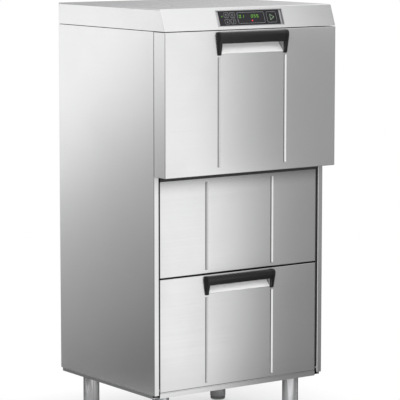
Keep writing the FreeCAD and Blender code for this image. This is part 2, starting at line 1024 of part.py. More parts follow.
def handle(name, face, top, bar_height, tail_length):
    """Black pull: a roof and a front lip set between two cheeks that taper down to the door."""
    roof = top - d.handle_drop
    front = face - d.handle_reach
    brow = roof - d.handle_brow
    tail = roof - tail_length
    tip = face - d.handle_tip
    half = d.handle_width / 2
    taper = (d.handle_reach - d.handle_tip) / (tail_length - d.handle_brow)
    bar_roof = roof - d.handle_inset
    bar_front = front + d.handle_inset
    lip_low = roof - bar_height
    lip_front = bar_front + taper * (bar_height - d.handle_brow)
    body = padded(name, "YZ_Plane", [
        (face, bar_roof),
        (bar_front, bar_roof),
        (bar_front, brow),
        (lip_front, lip_low),
        (lip_front + d.handle_lip, lip_low),
        (bar_front + d.handle_lip, brow),
        (bar_front + d.handle_lip, bar_roof - d.handle_roof),
        (face, bar_roof - d.handle_roof),
    ], d.handle_width)
    cheek = [
        (face, roof),
        (front, roof),
        (front, brow),
        (tip, tail),
        (face, tail),
    ]
    for start in (-half, half - d.handle_cheek):
        add_pad(body, "YZ_Plane", cheek, d.handle_cheek, start)

    def along_bar(y, z):
        """A test for the edges along X that pass through a point of the profile."""
        def wanted(edge):
            spot = middle(edge)
            return runs_along(edge, "X") and near(spot.y, y) and near(spot.z, z)
        return wanted

    def is_cheek_edge(edge):
        at_end = near(edge.BoundBox.XMin, half) or near(edge.BoundBox.XMax, -half)
        return at_end and edge.BoundBox.YMin < tip.value - 0.001

    round_edges(body, d.handle_nose_radius, along_bar(front, roof))
    round_edges(body, d.handle_nose_radius - d.handle_inset, along_bar(bar_front, bar_roof))
    round_edges(body, d.handle_lip_radius, along_bar(lip_front, lip_low))
    round_edges(body, d.handle_tip_radius, along_bar(tip, tail))
    round_edges(body, d.handle_edge_radius, is_cheek_edge)
    keep(name, body)


def wash_door():
    """Outer skin, handle and dished liner; the lower corners are notched round the hinge brackets."""
    gauge = d.skin_gauge
    front = front_with_recess(
        "door",
        half_width,
        door_face,
        door_back,
        door_low,
        door_top,
        d.handle_tail,
        d.crease_clear,
    )
    notch_x = (side_inside - d.hinge_notch_width, side_inside)
    floor_notch = box(
        "door_floor_notch",
        notch_x,
        (hinge_y - d.hinge_ear_radius - d.notch_gap, door_back + OVERCUT),
        (door_low - OVERCUT, door_low + gauge),
    )
    keep("door_skin", cut("door_skin", front, pair("door_floor_notches", floor_notch)))
    handle("door_handle", door_face, door_top, d.handle_bar, d.handle_tail)

    door_liner()


def door_liner():
    """Liner welded up from flat sheets: a border that leaves room for the hinges, and a dish behind it."""
    gauge = d.skin_gauge
    dish_half = opening_half - d.dish_margin
    dish_low = door_low + d.dish_low
    dish_top = dish_low + d.dish_height
    wall_half = dish_half + gauge
    wall_low = dish_low - gauge
    wall_top = dish_top + gauge
    band_half = side_inside - d.hinge_notch_width
    border_low = door_low + gauge
    border_top = door_top - gauge
    border_y = (door_back - gauge, door_back)
    wall_y = (dish_face, door_back)
    side_edge = box(
        "liner_side_edge",
        (band_half, side_inside),
        border_y,
        (door_low + d.hinge_notch_height, border_top),
    )
    side_band = box("liner_side_band", (wall_half, band_half), border_y, (border_low, border_top))
    side_wall = box(
        "liner_side_wall",
        (dish_half, wall_half),
        (dish_face - gauge, door_back),
        (wall_low, wall_top),
    )
    dish = box("liner_dish", (-dish_half, dish_half), (dish_face - gauge, dish_face), (wall_low, wall_top))
    keep("door_liner", group(
        "door_liner",
        pair("liner_side_edges", side_edge),
        pair("liner_side_bands", side_band),
        pair("liner_side_walls", side_wall),
        box("liner_low_band", (-wall_half, wall_half), border_y, (border_low, wall_low)),
        box("liner_top_band", (-wall_half, wall_half), border_y, (wall_top, border_top)),
        box("liner_low_wall", (-dish_half, dish_half), wall_y, (wall_low, dish_low)),
        box("liner_top_wall", (-dish_half, dish_half), wall_y, (dish_top, wall_top)),
        dish,
    ))


def wash_door_hinges():
    """Brackets with pins on the side returns, arms in the door, and a torsion bar on the hinge line."""
    ear_x = half_width - d.hinge_ear_inset
    foot_low = door_low + d.hinge_foot_rise
    foot = box(
        "hinge_foot",
        (ear_x, ear_x + d.hinge_foot_width),
        (side_front - d.hinge_foot, side_front),
        (foot_low, foot_low + d.hinge_foot_height),
    )
    ear = box(
        "hinge_ear",
        (ear_x, ear_x + d.hinge_ear),
        (hinge_y, side_front),
        (hinge_z - d.hinge_ear_radius, hinge_z + d.hinge_ear_radius),
    )
    ear_end = rod("hinge_ear_end", d.hinge_ear_radius, "X", (ear_x, hinge_y, hinge_z), d.hinge_ear)
    pin = rod("hinge_pin", d.hinge_pin_radius, "X", (ear_x, hinge_y, hinge_z), d.hinge_pin_length)
    keep("hinge_brackets", pair("hinge_brackets", fuse("hinge_bracket", foot, ear, ear_end, pin)))

    arm_low = door_low + d.skin_gauge
    arm_back = door_back - d.hinge_arm_gap
    arm = box(
        "hinge_arm_plate",
        (side_inside - d.hinge_arm, side_inside),
        (arm_back - d.hinge_arm_depth, arm_back),
        (arm_low, arm_low + d.hinge_arm_height),
    )
    bore = rod(
        "hinge_arm_bore",
        d.hinge_pin_radius + d.running_clearance,
        "X",
        (ear_x, hinge_y, hinge_z),
        d.hinge_ear_inset,
    )
    keep("door_hinge_arms", pair("door_hinge_arms", cut("hinge_arm", arm, bore)))
    keep(
        "torsion_bar",
        rod("torsion_bar", d.torsion_bar_radius, "X", (-ear_x, hinge_y, hinge_z), ear_x * 2),
    )


def lower_door():
    """Inset door of the lower compartment, on two pins fixed in the side returns."""
    gauge = d.skin_gauge
    back = panel_face + d.lower_door_depth
    pin_y = panel_face + d.lower_hinge_inset
    pin_z = lower_low + d.lower_hinge_inset
    front = front_with_recess(
        "lower",
        panel_half,
        panel_face,
        back,
        lower_low,
        lower_top,
        d.lower_handle_tail,
        d.crease_end,
    )
    pin_hole = rod(
        "lower_pin_hole",
        d.lower_pin_radius + d.running_clearance,
        "X",
        (panel_half - OVERCUT, pin_y, pin_z),
        OVERCUT * 2,
    )
    keep("lower_door_skin", cut("lower_door_skin", front, pair("lower_pin_holes", pin_hole)))
    handle("lower_door_handle", panel_face, lower_top, d.lower_handle_bar, d.lower_handle_tail)
    keep("lower_door_liner", box(
        "lower_door_liner",
        (-(panel_half - gauge), panel_half - gauge),
        (back - gauge, back),
        (lower_low + gauge, lower_top - gauge),
    ))
    pin_start = return_inside - d.lower_pin_length
    pin = rod("lower_pin", d.lower_pin_radius, "X", (pin_start, pin_y, pin_z), d.lower_pin_length)
    collar_start = return_inside - d.lower_collar
    collar = rod("lower_collar", d.lower_collar_radius, "X", (collar_start, pin_y, pin_z), d.lower_collar)
    keep("lower_hinge_pins", pair("lower_hinge_pins", fuse("lower_hinge_pin", pin, collar)))


def wash_tub():
    """Deep-drawn tub: a chamber behind the wash door, a tank below its ledge and a front flange."""
    gauge = d.tub_gauge
    chamber = box("chamber", (-tub_half, tub_half), (flange_face, tub_rear), (tub_ledge, tub_top))
    tank = box("tank", (-tub_half, tub_half), (panel_back, tub_rear), (tub_low, tub_ledge + gauge))
    flange = box(
        "tub_flange",
        (-return_inside, return_inside),
        (flange_face, flange_back),
        (tub_ledge, cover_low),
    )
    chamber_space = box(
        "chamber_space",
        (-tub_inside, tub_inside),
        (flange_back, tub_rear_inside),
        (tub_ledge + gauge, tub_ceiling),
    )
    tank_space = box(
        "tank_space",
        (-tub_inside, tub_inside),
        (panel_back + gauge, tub_rear_inside),
        (tub_floor, tub_ledge + gauge * 2),
    )
    mouth = box(
        "tub_mouth",
        (-opening_half, opening_half),
        (flange_face - OVERCUT, flange_back + OVERCUT),
        (opening_low, opening_top),
    )
    drop = tub_low - OVERCUT
    through = gauge + OVERCUT * 2
    sump_hole = rod("sump_hole", d.sump_radius - d.pipe_wall, "Z", (d.sump_x, sump_y, drop), through)
    feed_hole = rod("feed_hole", d.delivery_radius - d.pipe_wall, "Z", (0, arm_y, drop), through)
    riser_hole = rod("riser_hole", d.branch_radius - d.pipe_wall, "Z", (0, riser_y(), drop), through)
    heater_holes = []
    for y in heater_rows():
        heater_holes.append(rod(
            "heater_hole",
            d.heater_radius + d.fit_gap,
            "X",
            (tub_half - OVERCUT, y, tub_floor + d.heater_rise),
            OVERCUT * 2,
        ))
    body = fuse("tub_body", chamber, tank, flange)
    holes = [sump_hole, feed_hole, riser_hole, *heater_holes]
    keep("wash_tub", cut("wash_tub", body, chamber_space, tank_space, mouth, *holes))


def riser_y():
    """Middle of the riser duct's depth, where its feed comes up through the tub's floor."""
    return duct_front + d.duct_depth / 2


def heater_rows():
    return (arm_y - d.heater_span / 2, arm_y + d.heater_span / 2)


def tub_fittings():
    """Gasket, rack rails, filter, overflow pipe, heater and sump."""
    inner_half = opening_half + d.gasket_margin
    outer_half = inner_half + d.gasket_width
    inner_z = (opening_low - d.gasket_margin, opening_top + d.gasket_margin)
    outer_z = (inner_z[0] - d.gasket_width, inner_z[1] + d.gasket_width)
    ring_y = (door_back + d.gasket_gap, flange_face)
    ring = box("gasket_block", (-outer_half, outer_half), ring_y, outer_z)
    ring_space = box(
        "gasket_space",
        (-inner_half, inner_half),
        (ring_y[0] - OVERCUT, ring_y[1] + OVERCUT),
        inner_z,
    )
    keep("door_gasket", cut("door_gasket", ring, ring_space))

    rail_low = opening_low + d.rail_over_sill
    rail_front = flange_back + d.rail_front_gap
    rail_y = (rail_front, rail_front + d.rail_length)
    runner = box(
        "rail_runner",
        (tub_inside - d.rail_width, tub_inside),
        rail_y,
        (rail_low, rail_low + d.rail_gauge),
    )
    web = box(
        "rail_web",
        (tub_inside - d.rail_gauge, tub_inside),
        rail_y,
        (rail_low, rail_low + d.rail_rise),
    )
    keep("rack_rails", pair("rack_rails", fuse("rack_rail", runner, web)))

    filter_half = tub_inside - d.filter_margin
    filter_y = (panel_back + d.tub_gauge + d.filter_margin, duct_front - d.filter_margin)
    filter_low = tub_floor + d.filter_rise
    plate = box(
        "filter_plate",
        (-filter_half, filter_half),
        filter_y,
        (filter_low, filter_low + d.filter_gauge),
    )
    foot = box(
        "filter_foot",
        (filter_half - d.filter_gauge, filter_half),
        filter_y,
        (tub_floor, filter_low),
    )
    slots = []
    first_x = -d.filter_pitch_x * ((FILTER_COLUMNS - 1) / 2)
    first_y = arm_y - d.filter_pitch_y * ((FILTER_ROWS - 1) / 2)
    for column in range(FILTER_COLUMNS):
        for line in range(FILTER_ROWS):
            slots.append(box(
                "filter_slot",
                span(first_x + d.filter_pitch_x * column, d.filter_slot_length),
                span(first_y + d.filter_pitch_y * line, d.filter_slot),
                (filter_low - OVERCUT, filter_low + OVERCUT),
            ))
    overflow_x = -(tub_inside - d.overflow_inset)
    overflow_y = duct_front - d.overflow_inset
    spindle_hole = rod(
        "spindle_hole",
        d.pedestal_radius + d.filter_margin,
        "Z",
        (0, arm_y, filter_low - OVERCUT),
        OVERCUT * 2,
    )
    overflow_hole = rod(
        "overflow_hole",
        d.overflow_radius + d.filter_margin,
        "Z",
        (overflow_x, overflow_y, filter_low - OVERCUT),
        OVERCUT * 2,
    )
    heater_top = tub_floor + d.heater_rise + d.heater_radius + d.filter_margin
    heater_slots = []
    for y in heater_rows():
        heater_slots.append(box(
            "heater_slot",
            (0, tub_half),
            span(y, (d.heater_radius + d.filter_margin) * 2),
            (tub_floor - OVERCUT, heater_top),
        ))
    tray = cut(
        "filter_tray",
        fuse("filter_body", plate, foot, mirrored("filter_foot_twin", foot)),
        group("heater_slots", *heater_slots),
    )
    keep(
        "tank_filter",
        cut("tank_filter", tray, group("filter_slots", *slots), spindle_hole, overflow_hole),
    )

    cap_low = tub_floor + d.overflow_height - d.pipe_wall * 2
    bore = d.overflow_radius - d.pipe_wall
    keep("overflow_pipe", turned("overflow_pipe", [
        (bore, tub_floor),
        (d.overflow_radius, tub_floor),
        (d.overflow_radius, cap_low),
        (d.overflow_cap, cap_low),
        (d.overflow_cap, tub_floor + d.overflow_height),
        (bore, tub_floor + d.overflow_height),
    ], (overflow_x, overflow_y, 0)))

    heater_z = tub_floor + d.heater_rise
    front_row, back_row = heater_rows()
    heater_end = tub_half + d.sump_lip
    element = hose("heater_element", d.heater_radius, [
        (heater_end, front_row, heater_z),
        (-d.heater_reach, front_row, heater_z),
        (-d.heater_reach, back_row, heater_z),
        (heater_end, back_row, heater_z),
    ])
    heater_plate = box(
        "heater_plate",
        (tub_half, tub_half + d.pipe_wall),
        (front_row - d.heater_radius * 2, back_row + d.heater_radius * 2),
        (heater_z - d.heater_radius * 2, heater_z + d.heater_radius * 2),
    )
    keep("tank_heater", fuse("tank_heater", element, heater_plate))

    wall = d.pipe_wall
    cup = turned("sump_cup", [
        (d.suction_radius - wall, tub_low - d.sump_depth - d.suction_drop),
        (d.suction_radius, tub_low - d.sump_depth - d.suction_drop),
        (d.suction_radius, tub_low - d.sump_depth),
        (d.sump_radius, tub_low - d.sump_depth),
        (d.sump_radius, tub_low - wall),
        (d.sump_radius + d.sump_lip, tub_low - wall),
        (d.sump_radius + d.sump_lip, tub_low),
        (d.sump_radius - wall, tub_low),
        (d.sump_radius - wall, tub_low - d.sump_depth + wall),
        (d.suction_radius - wall, tub_low - d.sump_depth + wall),
    ], (d.sump_x, sump_y, 0))
    spout_z = tub_low - d.drain_port_drop
    spout = rod(
        "sump_spout",
        d.drain_port,
        "X",
        (d.sump_x + d.sump_radius - wall, sump_y, spout_z),
        sump_spout(),
    )
    spout_bore = rod(
        "sump_spout_bore",
        d.drain_port - wall,
        "X",
        (d.sump_x + d.sump_radius - wall * 3, sump_y, spout_z),
        sump_spout() + OVERCUT,
    )
    keep("sump_well", cut("sump_well", fuse("sump_body", cup, spout), spout_bore))


def sump_spout():
    """Length of the sump's drain spout, up to the drain pump's elbow."""
    return (drain_x - d.sump_x - d.sump_radius + d.pipe_wall) / 2


def riser_duct():
    """Flat duct up the rear wall and along the ceiling to the upper arms."""
    wall = d.duct_wall
    end = arm_y - d.spindle_base_radius
    duct_low = tub_ceiling - d.duct_depth
    block = padded("duct_block", "YZ_Plane", [
        (duct_front, tub_floor),
        (tub_rear_inside, tub_floor),
        (tub_rear_inside, tub_ceiling),
        (end, tub_ceiling),
        (end, duct_low),
        (duct_front, duct_low),
    ], d.duct_width)
    space = padded("duct_space", "YZ_Plane", [
        (duct_front + wall, tub_floor - OVERCUT),
        (tub_rear_inside - wall, tub_floor - OVERCUT),
        (tub_rear_inside - wall, tub_ceiling - wall),
        (end + wall, tub_ceiling - wall),
        (end + wall, duct_low + wall),
        (duct_front + wall, duct_low + wall),
    ], d.duct_width - wall * 2)
    keep("riser_duct", cut("riser_duct", block, space))


def spray_arms():
    """Lower and upper spindles with their nuts, and the wash and rinse arms that turn on them."""
    lower_shoulder = tub_floor + d.spindle_base_height + d.pedestal_height
    upper_shoulder = tub_ceiling - d.duct_depth - d.spindle_base_height
    nuts = []
    for level, shoulder, way in (("lower", lower_shoulder, 1), ("upper", upper_shoulder, -1)):
        wash_low = shoulder + d.hub_gap * way
        wash_end = wash_low + d.wash_hub_height * way
        rinse_step = wash_end + d.hub_gap * way
        rinse_low = rinse_step + d.hub_gap * way
        rinse_end = rinse_low + d.rinse_hub_height * way
        nut_step = rinse_end + d.hub_gap * way
        nut_end = nut_step + d.nut_height * way
        shaft = [
            (d.wash_shaft_radius, shoulder),
            (d.wash_shaft_radius, rinse_step),
            (d.rinse_shaft_radius, rinse_step),
            (d.rinse_shaft_radius, nut_step),
            (d.nut_shaft_radius, nut_step),
            (d.nut_shaft_radius, nut_end),
            (0, nut_end),
        ]
        if level == "lower":
            base_top = tub_floor + d.spindle_base_height
            foot = [
                (0, tub_floor),
                (d.spindle_base_radius, tub_floor),
                (d.spindle_base_radius, base_top),
                (d.pedestal_radius, base_top),
                (d.pedestal_radius, shoulder),
            ]
        else:
            ceiling = tub_ceiling - d.duct_depth
            foot = [
                (0, ceiling),
                (d.duct_width / 2, ceiling),
                (d.duct_width / 2, shoulder),
            ]
        keep(f"{level}_spindle", turned(f"{level}_spindle", foot + shaft, (0, arm_y, 0)))
        nuts.append(turned(f"{level}_nut", [
            (d.nut_shaft_radius + d.running_clearance, nut_step),
            (d.nut_radius, nut_step),
            (d.nut_radius, nut_end),
            (d.nut_shaft_radius + d.running_clearance, nut_end),
        ], (0, arm_y, 0)))
        wash_arm(level, way, wash_low)
        rinse_arm(level, way, rinse_low)
    keep("spindle_nuts", group("spindle_nuts", *nuts))


def wash_arm(level, way, hub_start):
    """Flat tapered arm with spray pits on the side that faces the rack."""
    name = f"{level}_wash_arm"
    half_root = d.arm_root / 2
    half_tip = d.arm_tip / 2
    hub_end = hub_start + d.wash_hub_height * way
    low = hub_start if way > 0 else hub_end
    blade_low = low + (d.wash_hub_height - d.arm_thickness) / 2
    blade = padded(f"{name}_blade", "XY_Plane", [
        (-d.arm_reach, arm_y - half_tip),
        (-d.wash_hub_radius, arm_y - half_root),
        (d.wash_hub_radius, arm_y - half_root),
        (d.arm_reach, arm_y - half_tip),
        (d.arm_reach, arm_y + half_tip),
        (d.wash_hub_radius, arm_y + half_root),
        (-d.wash_hub_radius, arm_y + half_root),
        (-d.arm_reach, arm_y + half_tip),
    ], d.arm_thickness, blade_low)

    def is_rim(edge):
        return not runs_along(edge, "Z")

    round_edges(blade, d.arm_edge_radius, is_rim)
    hub = rod(f"{name}_hub", d.wash_hub_radius, "Z", (0, arm_y, low), d.wash_hub_height)
    bore = rod(
        f"{name}_bore",
        d.wash_shaft_radius + d.running_clearance,
        "Z",
        (0, arm_y, low - OVERCUT),
        d.wash_hub_height + OVERCUT * 2,
    )
    if way > 0:
        pit_low = blade_low + d.arm_thickness - d.arm_nozzle_depth
    else:
        pit_low = blade_low + d.arm_nozzle_depth - OVERCUT
    pits = []
    for side in (-1, 1):
        for step in range(NOZZLES_PER_SIDE):
            x = (d.wash_hub_radius + d.arm_nozzle_pitch * (step + 0.75)) * side
            pits.append(rod(f"{name}_pit", d.arm_nozzle_radius, "Z", (x, arm_y, pit_low), OVERCUT))
    keep(name, cut(name, fuse(f"{name}_body", blade, hub), bore, group(f"{name}_pits", *pits)))


def rinse_arm(level, way, hub_start):
    """Round rinse tubes, square to the wash arm at rest, with spray nipples."""
    name = f"{level}_rinse_arm"
    hub_end = hub_start + d.rinse_hub_height * way
    low = hub_start if way > 0 else hub_end
    centre = low + d.rinse_hub_height / 2
    tube = rod(f"{name}_tube", d.rinse_tube_radius, "Y", (0, arm_y - d.arm_reach, centre), d.arm_reach * 2)
    hub = rod(f"{name}_hub", d.rinse_hub_radius, "Z", (0, arm_y, low), d.rinse_hub_height)
    bore = rod(
        f"{name}_bore",
        d.rinse_shaft_radius + d.running_clearance,
        "Z",
        (0, arm_y, low - OVERCUT),
        d.rinse_hub_height + OVERCUT * 2,
    )
    nipples = []
    nipple_low = centre if way > 0 else low
    for side in (-1, 1):
        for step in range(NOZZLES_PER_SIDE):
            y = arm_y + (d.rinse_hub_radius + d.arm_nozzle_pitch * (step + 1)) * side
            nipples.append(
                rod(f"{name}_nipple", d.arm_nozzle_radius, "Z", (0, y, nipple_low), d.rinse_hub_height / 2),
            )
    keep(name, cut(name, fuse(f"{name}_body", tube, hub, *nipples), bore))


def wash_pump():
    """Volute, motor and impeller on one axis along X, with the delivery pipe to both spindles."""
    wall = d.pipe_wall
    pump_y = arm_y + d.pump_offset
    pump_z = tub_low - d.pump_drop
    half = d.volute_width / 2
    cavity_half = half - d.volute_wall
    outlet_top = pump_z + d.volute_radius + d.port_length
    shell = rod("volute_shell", d.volute_radius, "X", (-half, pump_y, pump_z), d.volute_width)
    inlet = rod("volute_inlet", d.port_radius, "X", (half, pump_y, pump_z), d.port_length)
    outlet = rod("volute_outlet", d.delivery_radius, "Z", (0, arm_y, pump_z), outlet_top - pump_z)
    cavity = rod(
        "volute_cavity",
        d.volute_radius - d.volute_wall,
        "X",
        (-cavity_half, pump_y, pump_z),
        cavity_half * 2,
    )
    inlet_bore = rod(
        "volute_inlet_bore",
        d.suction_radius - wall,
        "X",
        (0, pump_y, pump_z),
        half + d.port_length + OVERCUT,
    )
    outlet_bore = rod(
        "volute_outlet_bore",
        d.delivery_radius - wall,
        "Z",
        (0, arm_y, pump_z),
        outlet_top - pump_z + OVERCUT,
    )
    shaft_bore = rod(
        "volute_shaft_bore",
        d.pump_shaft_radius + d.running_clearance,
        "X",
        (-half - OVERCUT, pump_y, pump_z),
        half + OVERCUT,
    )
    volute = fuse("volute", shell, inlet, outlet)
    keep("wash_pump_body", cut("wash_pump_body", volute, cavity, inlet_bore, outlet_bore, shaft_bore))

    motor_can = rod(
        "motor_can",
        d.motor_radius,
        "X",
        (-half - d.motor_length, pump_y, pump_z),
        d.motor_length,
    )
    motor_foot = box(
        "motor_foot",
        (-half - d.motor_length + d.motor_foot_inset, -half - d.motor_foot_inset),
        span(pump_y, d.motor_foot_width),
        (shelf_top, pump_z),
    )
    disc_start = -cavity_half + d.impeller_gap
    shaft_start = disc_start - d.pump_shaft_length
    motor_bore = rod(
        "motor_bore",
        d.pump_shaft_radius + d.running_clearance,
        "X",
        (shaft_start - d.hub_gap, pump_y, pump_z),
        d.pump_shaft_length + OVERCUT,
    )
    keep("wash_pump_motor", cut("wash_pump_motor", fuse("motor_body", motor_can, motor_foot), motor_bore))

    disc_at = d.pump_shaft_length
    vane_at = disc_at + d.impeller_disc
    nose_at = vane_at + d.impeller_vane
    nose = d.pump_shaft_radius * 2
    wheel = turned("impeller_wheel", [
        (0, 0),
        (d.pump_shaft_radius, 0),
        (d.pump_shaft_radius, disc_at),
        (d.impeller_radius, disc_at),
        (d.impeller_radius, vane_at),
        (nose, vane_at),
        (nose, nose_at),
        (0, nose_at),
    ], (shaft_start, pump_y, pump_z), "X")
    vanes = []
    for index in range(IMPELLER_VANES):
        vane = doc.addObject("Part::Box", "impeller_vane")
        bind(vane, "Length", d.impeller_disc + d.impeller_vane)
        bind(vane, "Width", wall)
        bind(vane, "Height", d.impeller_radius)
        turn = 360 / IMPELLER_VANES * index
        vane.Placement.Rotation = FreeCAD.Rotation(FreeCAD.Vector(1, 0, 0), turn)
        vanes.append(place(vane, disc_start, pump_y, pump_z))
    keep("wash_pump_impeller", fuse("wash_pump_impeller", wheel, *vanes))

    branch_z = tub_low - d.branch_drop
    rise = tub_low - outlet_top
    main = rod("delivery_main", d.delivery_radius, "Z", (0, arm_y, outlet_top), rise)
    main_bore = rod(
        "delivery_main_bore",
        d.delivery_radius - wall,
        "Z",
        (0, arm_y, outlet_top - OVERCUT),
        rise + OVERCUT * 2,
    )
    run = [(0, arm_y, branch_z), (0, riser_y(), branch_z), (0, riser_y(), tub_low)]
    branch = hose("delivery_branch", d.branch_radius, run)
    branch_bore = hose("delivery_branch_bore", d.branch_radius - wall, run)
    pipe = fuse("delivery_body", main, branch)
    keep("delivery_pipe", cut("delivery_pipe", pipe, main_bore, branch_bore))

    suction_start = tub_low - d.sump_depth - d.suction_drop
    suction_end = half + d.port_length
    approach = (suction_end + d.sump_x) / 2
    keep("suction_hose", hose("suction_hose", d.suction_radius, [
        (d.sump_x, sump_y, suction_start),
        (d.sump_x, sump_y, pump_z),
        (approach, pump_y, pump_z),
        (suction_end, pump_y, pump_z),
    ], d.suction_radius - wall))


def drain_pump():
    """Drain pump on the shelf, its elbow to the sump and its hose to the rear spigot."""
    x = drain_x
    z = shelf_top + d.drain_pump_rise
    back = drain_pump_back
    front = back - d.drain_pump_length
    spout_z = tub_low - d.drain_port_drop
    can = rod("drain_can", d.drain_pump_radius, "Y", (x, front, z), d.drain_pump_length)
    outlet = rod("drain_outlet", d.drain_radius, "Y", (x, back, z), d.drain_port)
    riser = rod("drain_riser", d.drain_port, "Z", (x, sump_y, z), spout_z + d.drain_port - z)
    elbow_start = d.sump_x + d.sump_radius - d.pipe_wall + sump_spout()
    elbow = rod("drain_elbow", d.drain_port, "X", (elbow_start, sump_y, spout_z), x - elbow_start)
    foot = box(
        "drain_foot",
        span(x, d.drain_pump_radius),
        (front, back),
        (shelf_top, z),
    )
    keep("drain_pump", fuse("drain_pump", can, outlet, riser, elbow, foot))

    keep("drain_hose", hose("drain_hose", d.drain_radius, [
        (x, back + d.drain_port, z),
        (x, hose_y, z),
        (x, hose_y, connection_level),
        (x, spigot_inner, connection_level),
    ], d.drain_radius - d.pipe_wall))
    start = spigot_inner
    end = connection_back + d.spigot_length
    tube = rod("spigot_tube", d.spigot_radius, "Y", (x, start, connection_level), end - start)
    collar = rod(
        "spigot_collar",
        d.spigot_collar_radius,
        "Y",
        (x, connection_back, connection_level),
        d.spigot_collar,
    )
    bore = rod(
        "spigot_bore",
        d.spigot_bore,
        "Y",
        (x, start - OVERCUT, connection_level),
        end - start + OVERCUT * 2,
    )
    keep("drain_spigot", cut("drain_spigot", fuse("spigot_body", tube, collar), bore))


def equipment_shelf():
    """Folded shelf over the lower compartment, notched round the side returns."""
    plate = box(
        "shelf_plate",
        (-side_inside, side_inside),
        (panel_back, rear_panel_front),
        (shelf_low, shelf_top),
    )
    flange = box(
        "shelf_flange",
        (-panel_half, panel_half),
        (panel_back, panel_back + d.shelf_gauge),
        (shelf_low, shelf_low + d.shelf_flange),
    )
    notch = box(
        "shelf_notch",
        (return_inside - d.fit_gap, half_width),
        (panel_back - OVERCUT, side_front + d.return_depth + d.fit_gap),
        (shelf_low - OVERCUT, shelf_top + OVERCUT),
    )
    hose_hole = rod(
        "shelf_hose_hole",
        d.drain_radius + d.hose_hole,
        "Z",
        (drain_x, hose_y, shelf_low - OVERCUT),
        OVERCUT * 2 + d.shelf_gauge,
    )
    shelf = fuse("shelf_body", plate, flange)
    keep("equipment_shelf", cut("equipment_shelf", shelf, pair("shelf_notches", notch), hose_hole))


def boiler_and_electrics():
    low = tray_floor + d.boiler_foot
    top = shelf_low - d.boiler_head_gap
    ring = d.boiler_radius - d.boiler_dome_radius
    vessel = turned("boiler_vessel", [
        (0, tray_floor),
        (ring, tray_floor),
        (ring, low),
        (d.boiler_radius, low),
        (d.boiler_radius, top),
        (0, top),
    ], (boiler_x, boiler_y, 0))

    def is_dome_edge(edge):
        return near(edge.BoundBox.ZMin, top) and near(edge.BoundBox.XMax, d.boiler_radius)

    round_edges(vessel, d.boiler_dome_radius, is_dome_edge)
    port = rod(
        "boiler_port",
        d.boiler_port_radius,
        "X",
        (boiler_x, boiler_y, connection_level),
        d.boiler_radius + d.boiler_port,
    )
    keep("boiler", fuse("boiler", vessel, port))

    pumps = []
    dosing_x = side_inside - d.dosing_width
    dosing_low = tray_floor + d.dosing_rise
    for index in range(2):
        back = connection_front - d.dosing_back - d.dosing_pitch * index
        case = box(
            "dosing_case",
            (dosing_x, side_inside),
            (back - d.dosing_depth, back),
            (dosing_low, dosing_low + d.dosing_height),
        )
        head = rod(
            "dosing_head",
            d.dosing_head_radius,
            "X",
            (dosing_x - d.dosing_head_length, back - d.dosing_depth / 2, dosing_low + d.dosing_height / 2),
            d.dosing_head_length,
        )
        pumps.append(fuse("dosing_pump", case, head))
    keep("dosing_pumps", group("dosing_pumps", *pumps))

    right = side_inside - d.electrics_inset
    front = panel_back + d.electrics_front
    case = padded("electrical_box", "XY_Plane", [
        (right - d.electrics_width, front),
        (right, front),
        (right, front + d.electrics_depth),
        (right - d.electrics_width, front + d.electrics_depth),
    ], d.electrics_height, shelf_top)
    keep("electrical_box", round_edges(case, d.electrics_edge_radius, lambda edge: runs_along(edge, "Z")))


def rear_connections():
    """Water inlet valve with its thread and its pipe to the boiler, and the cable gland."""
    half = d.inlet_body / 2
    block = box(
        "inlet_block",
        span(inlet_x, d.inlet_body),
        (connection_front - d.inlet_body, connection_front),
        span(connection_level, d.inlet_body),
    )
    collar = rod(
        "inlet_collar",
        d.inlet_collar_radius,
        "Y",
        (inlet_x, connection_back, connection_level),
        d.spigot_collar,
    )
    thread = rod(
        "inlet_thread",
        d.inlet_thread_radius,
        "Y",
        (inlet_x, connection_front, connection_level),
        d.skin_gauge + d.spigot_collar + d.inlet_thread_length,
    )
    coil = rod(
        "inlet_coil",
        d.coil_radius,
        "Z",
        (inlet_x, connection_front - half, connection_level + half),
        d.coil_height,
    )
    keep("inlet_valve", fuse("inlet_valve", block, collar, thread, coil))

    valve_side = inlet_x - half
    port_end = boiler_x + d.boiler_radius + d.boiler_port
    turn_x = (valve_side + port_end) / 2
    keep("feed_pipe", hose("feed_pipe", d.feed_radius, [
        (valve_side, connection_front - half, connection_level),
        (turn_x, connection_front - half, connection_level),
        (turn_x, boiler_y, connection_level),
        (port_end, boiler_y, connection_level),
    ], d.feed_radius - d.pipe_wall))

    inner = connection_front - d.gland_nut * 2
    outer = connection_back + d.gland_length
    barrel = rod("gland_barrel", d.gland_radius, "Y", (gland_x, inner, connection_level), outer - inner)
    collar = rod(
        "gland_collar",
        d.gland_nut_radius,
        "Y",
        (gland_x, connection_back, connection_level),
        d.gland_nut,
    )
    nut = rod(
        "gland_nut",
        d.gland_nut_radius,
        "Y",
        (gland_x, connection_front - d.gland_nut, connection_level),
        d.gland_nut,
    )
    bore = rod(
        "gland_bore",
        d.gland_bore,
        "Y",
        (gland_x, inner - OVERCUT, connection_level),
        outer - inner + OVERCUT * 2,
    )
    keep("cable_gland", cut("cable_gland", fuse("gland_body", barrel, collar, nut), bore))


def check_and_export():
    """Refuse a failed document, then write one STEP file per sub-part."""
    doc.recompute()
    failed = [item.Label for item in doc.Objects if {"Invalid", "Error"} & set(item.State)]
    for name, item in subparts.items():
        if item.Shape.isNull() or not item.Shape.isValid():
            failed.append(name)
    if failed:
        raise RuntimeError(f"failed objects: {failed}")
    os.makedirs("parts", exist_ok=True)
    for name, item in subparts.items():
        item.Shape.exportStep(f"parts/{name}.step")
    print(f"{len(subparts)} sub-parts written")


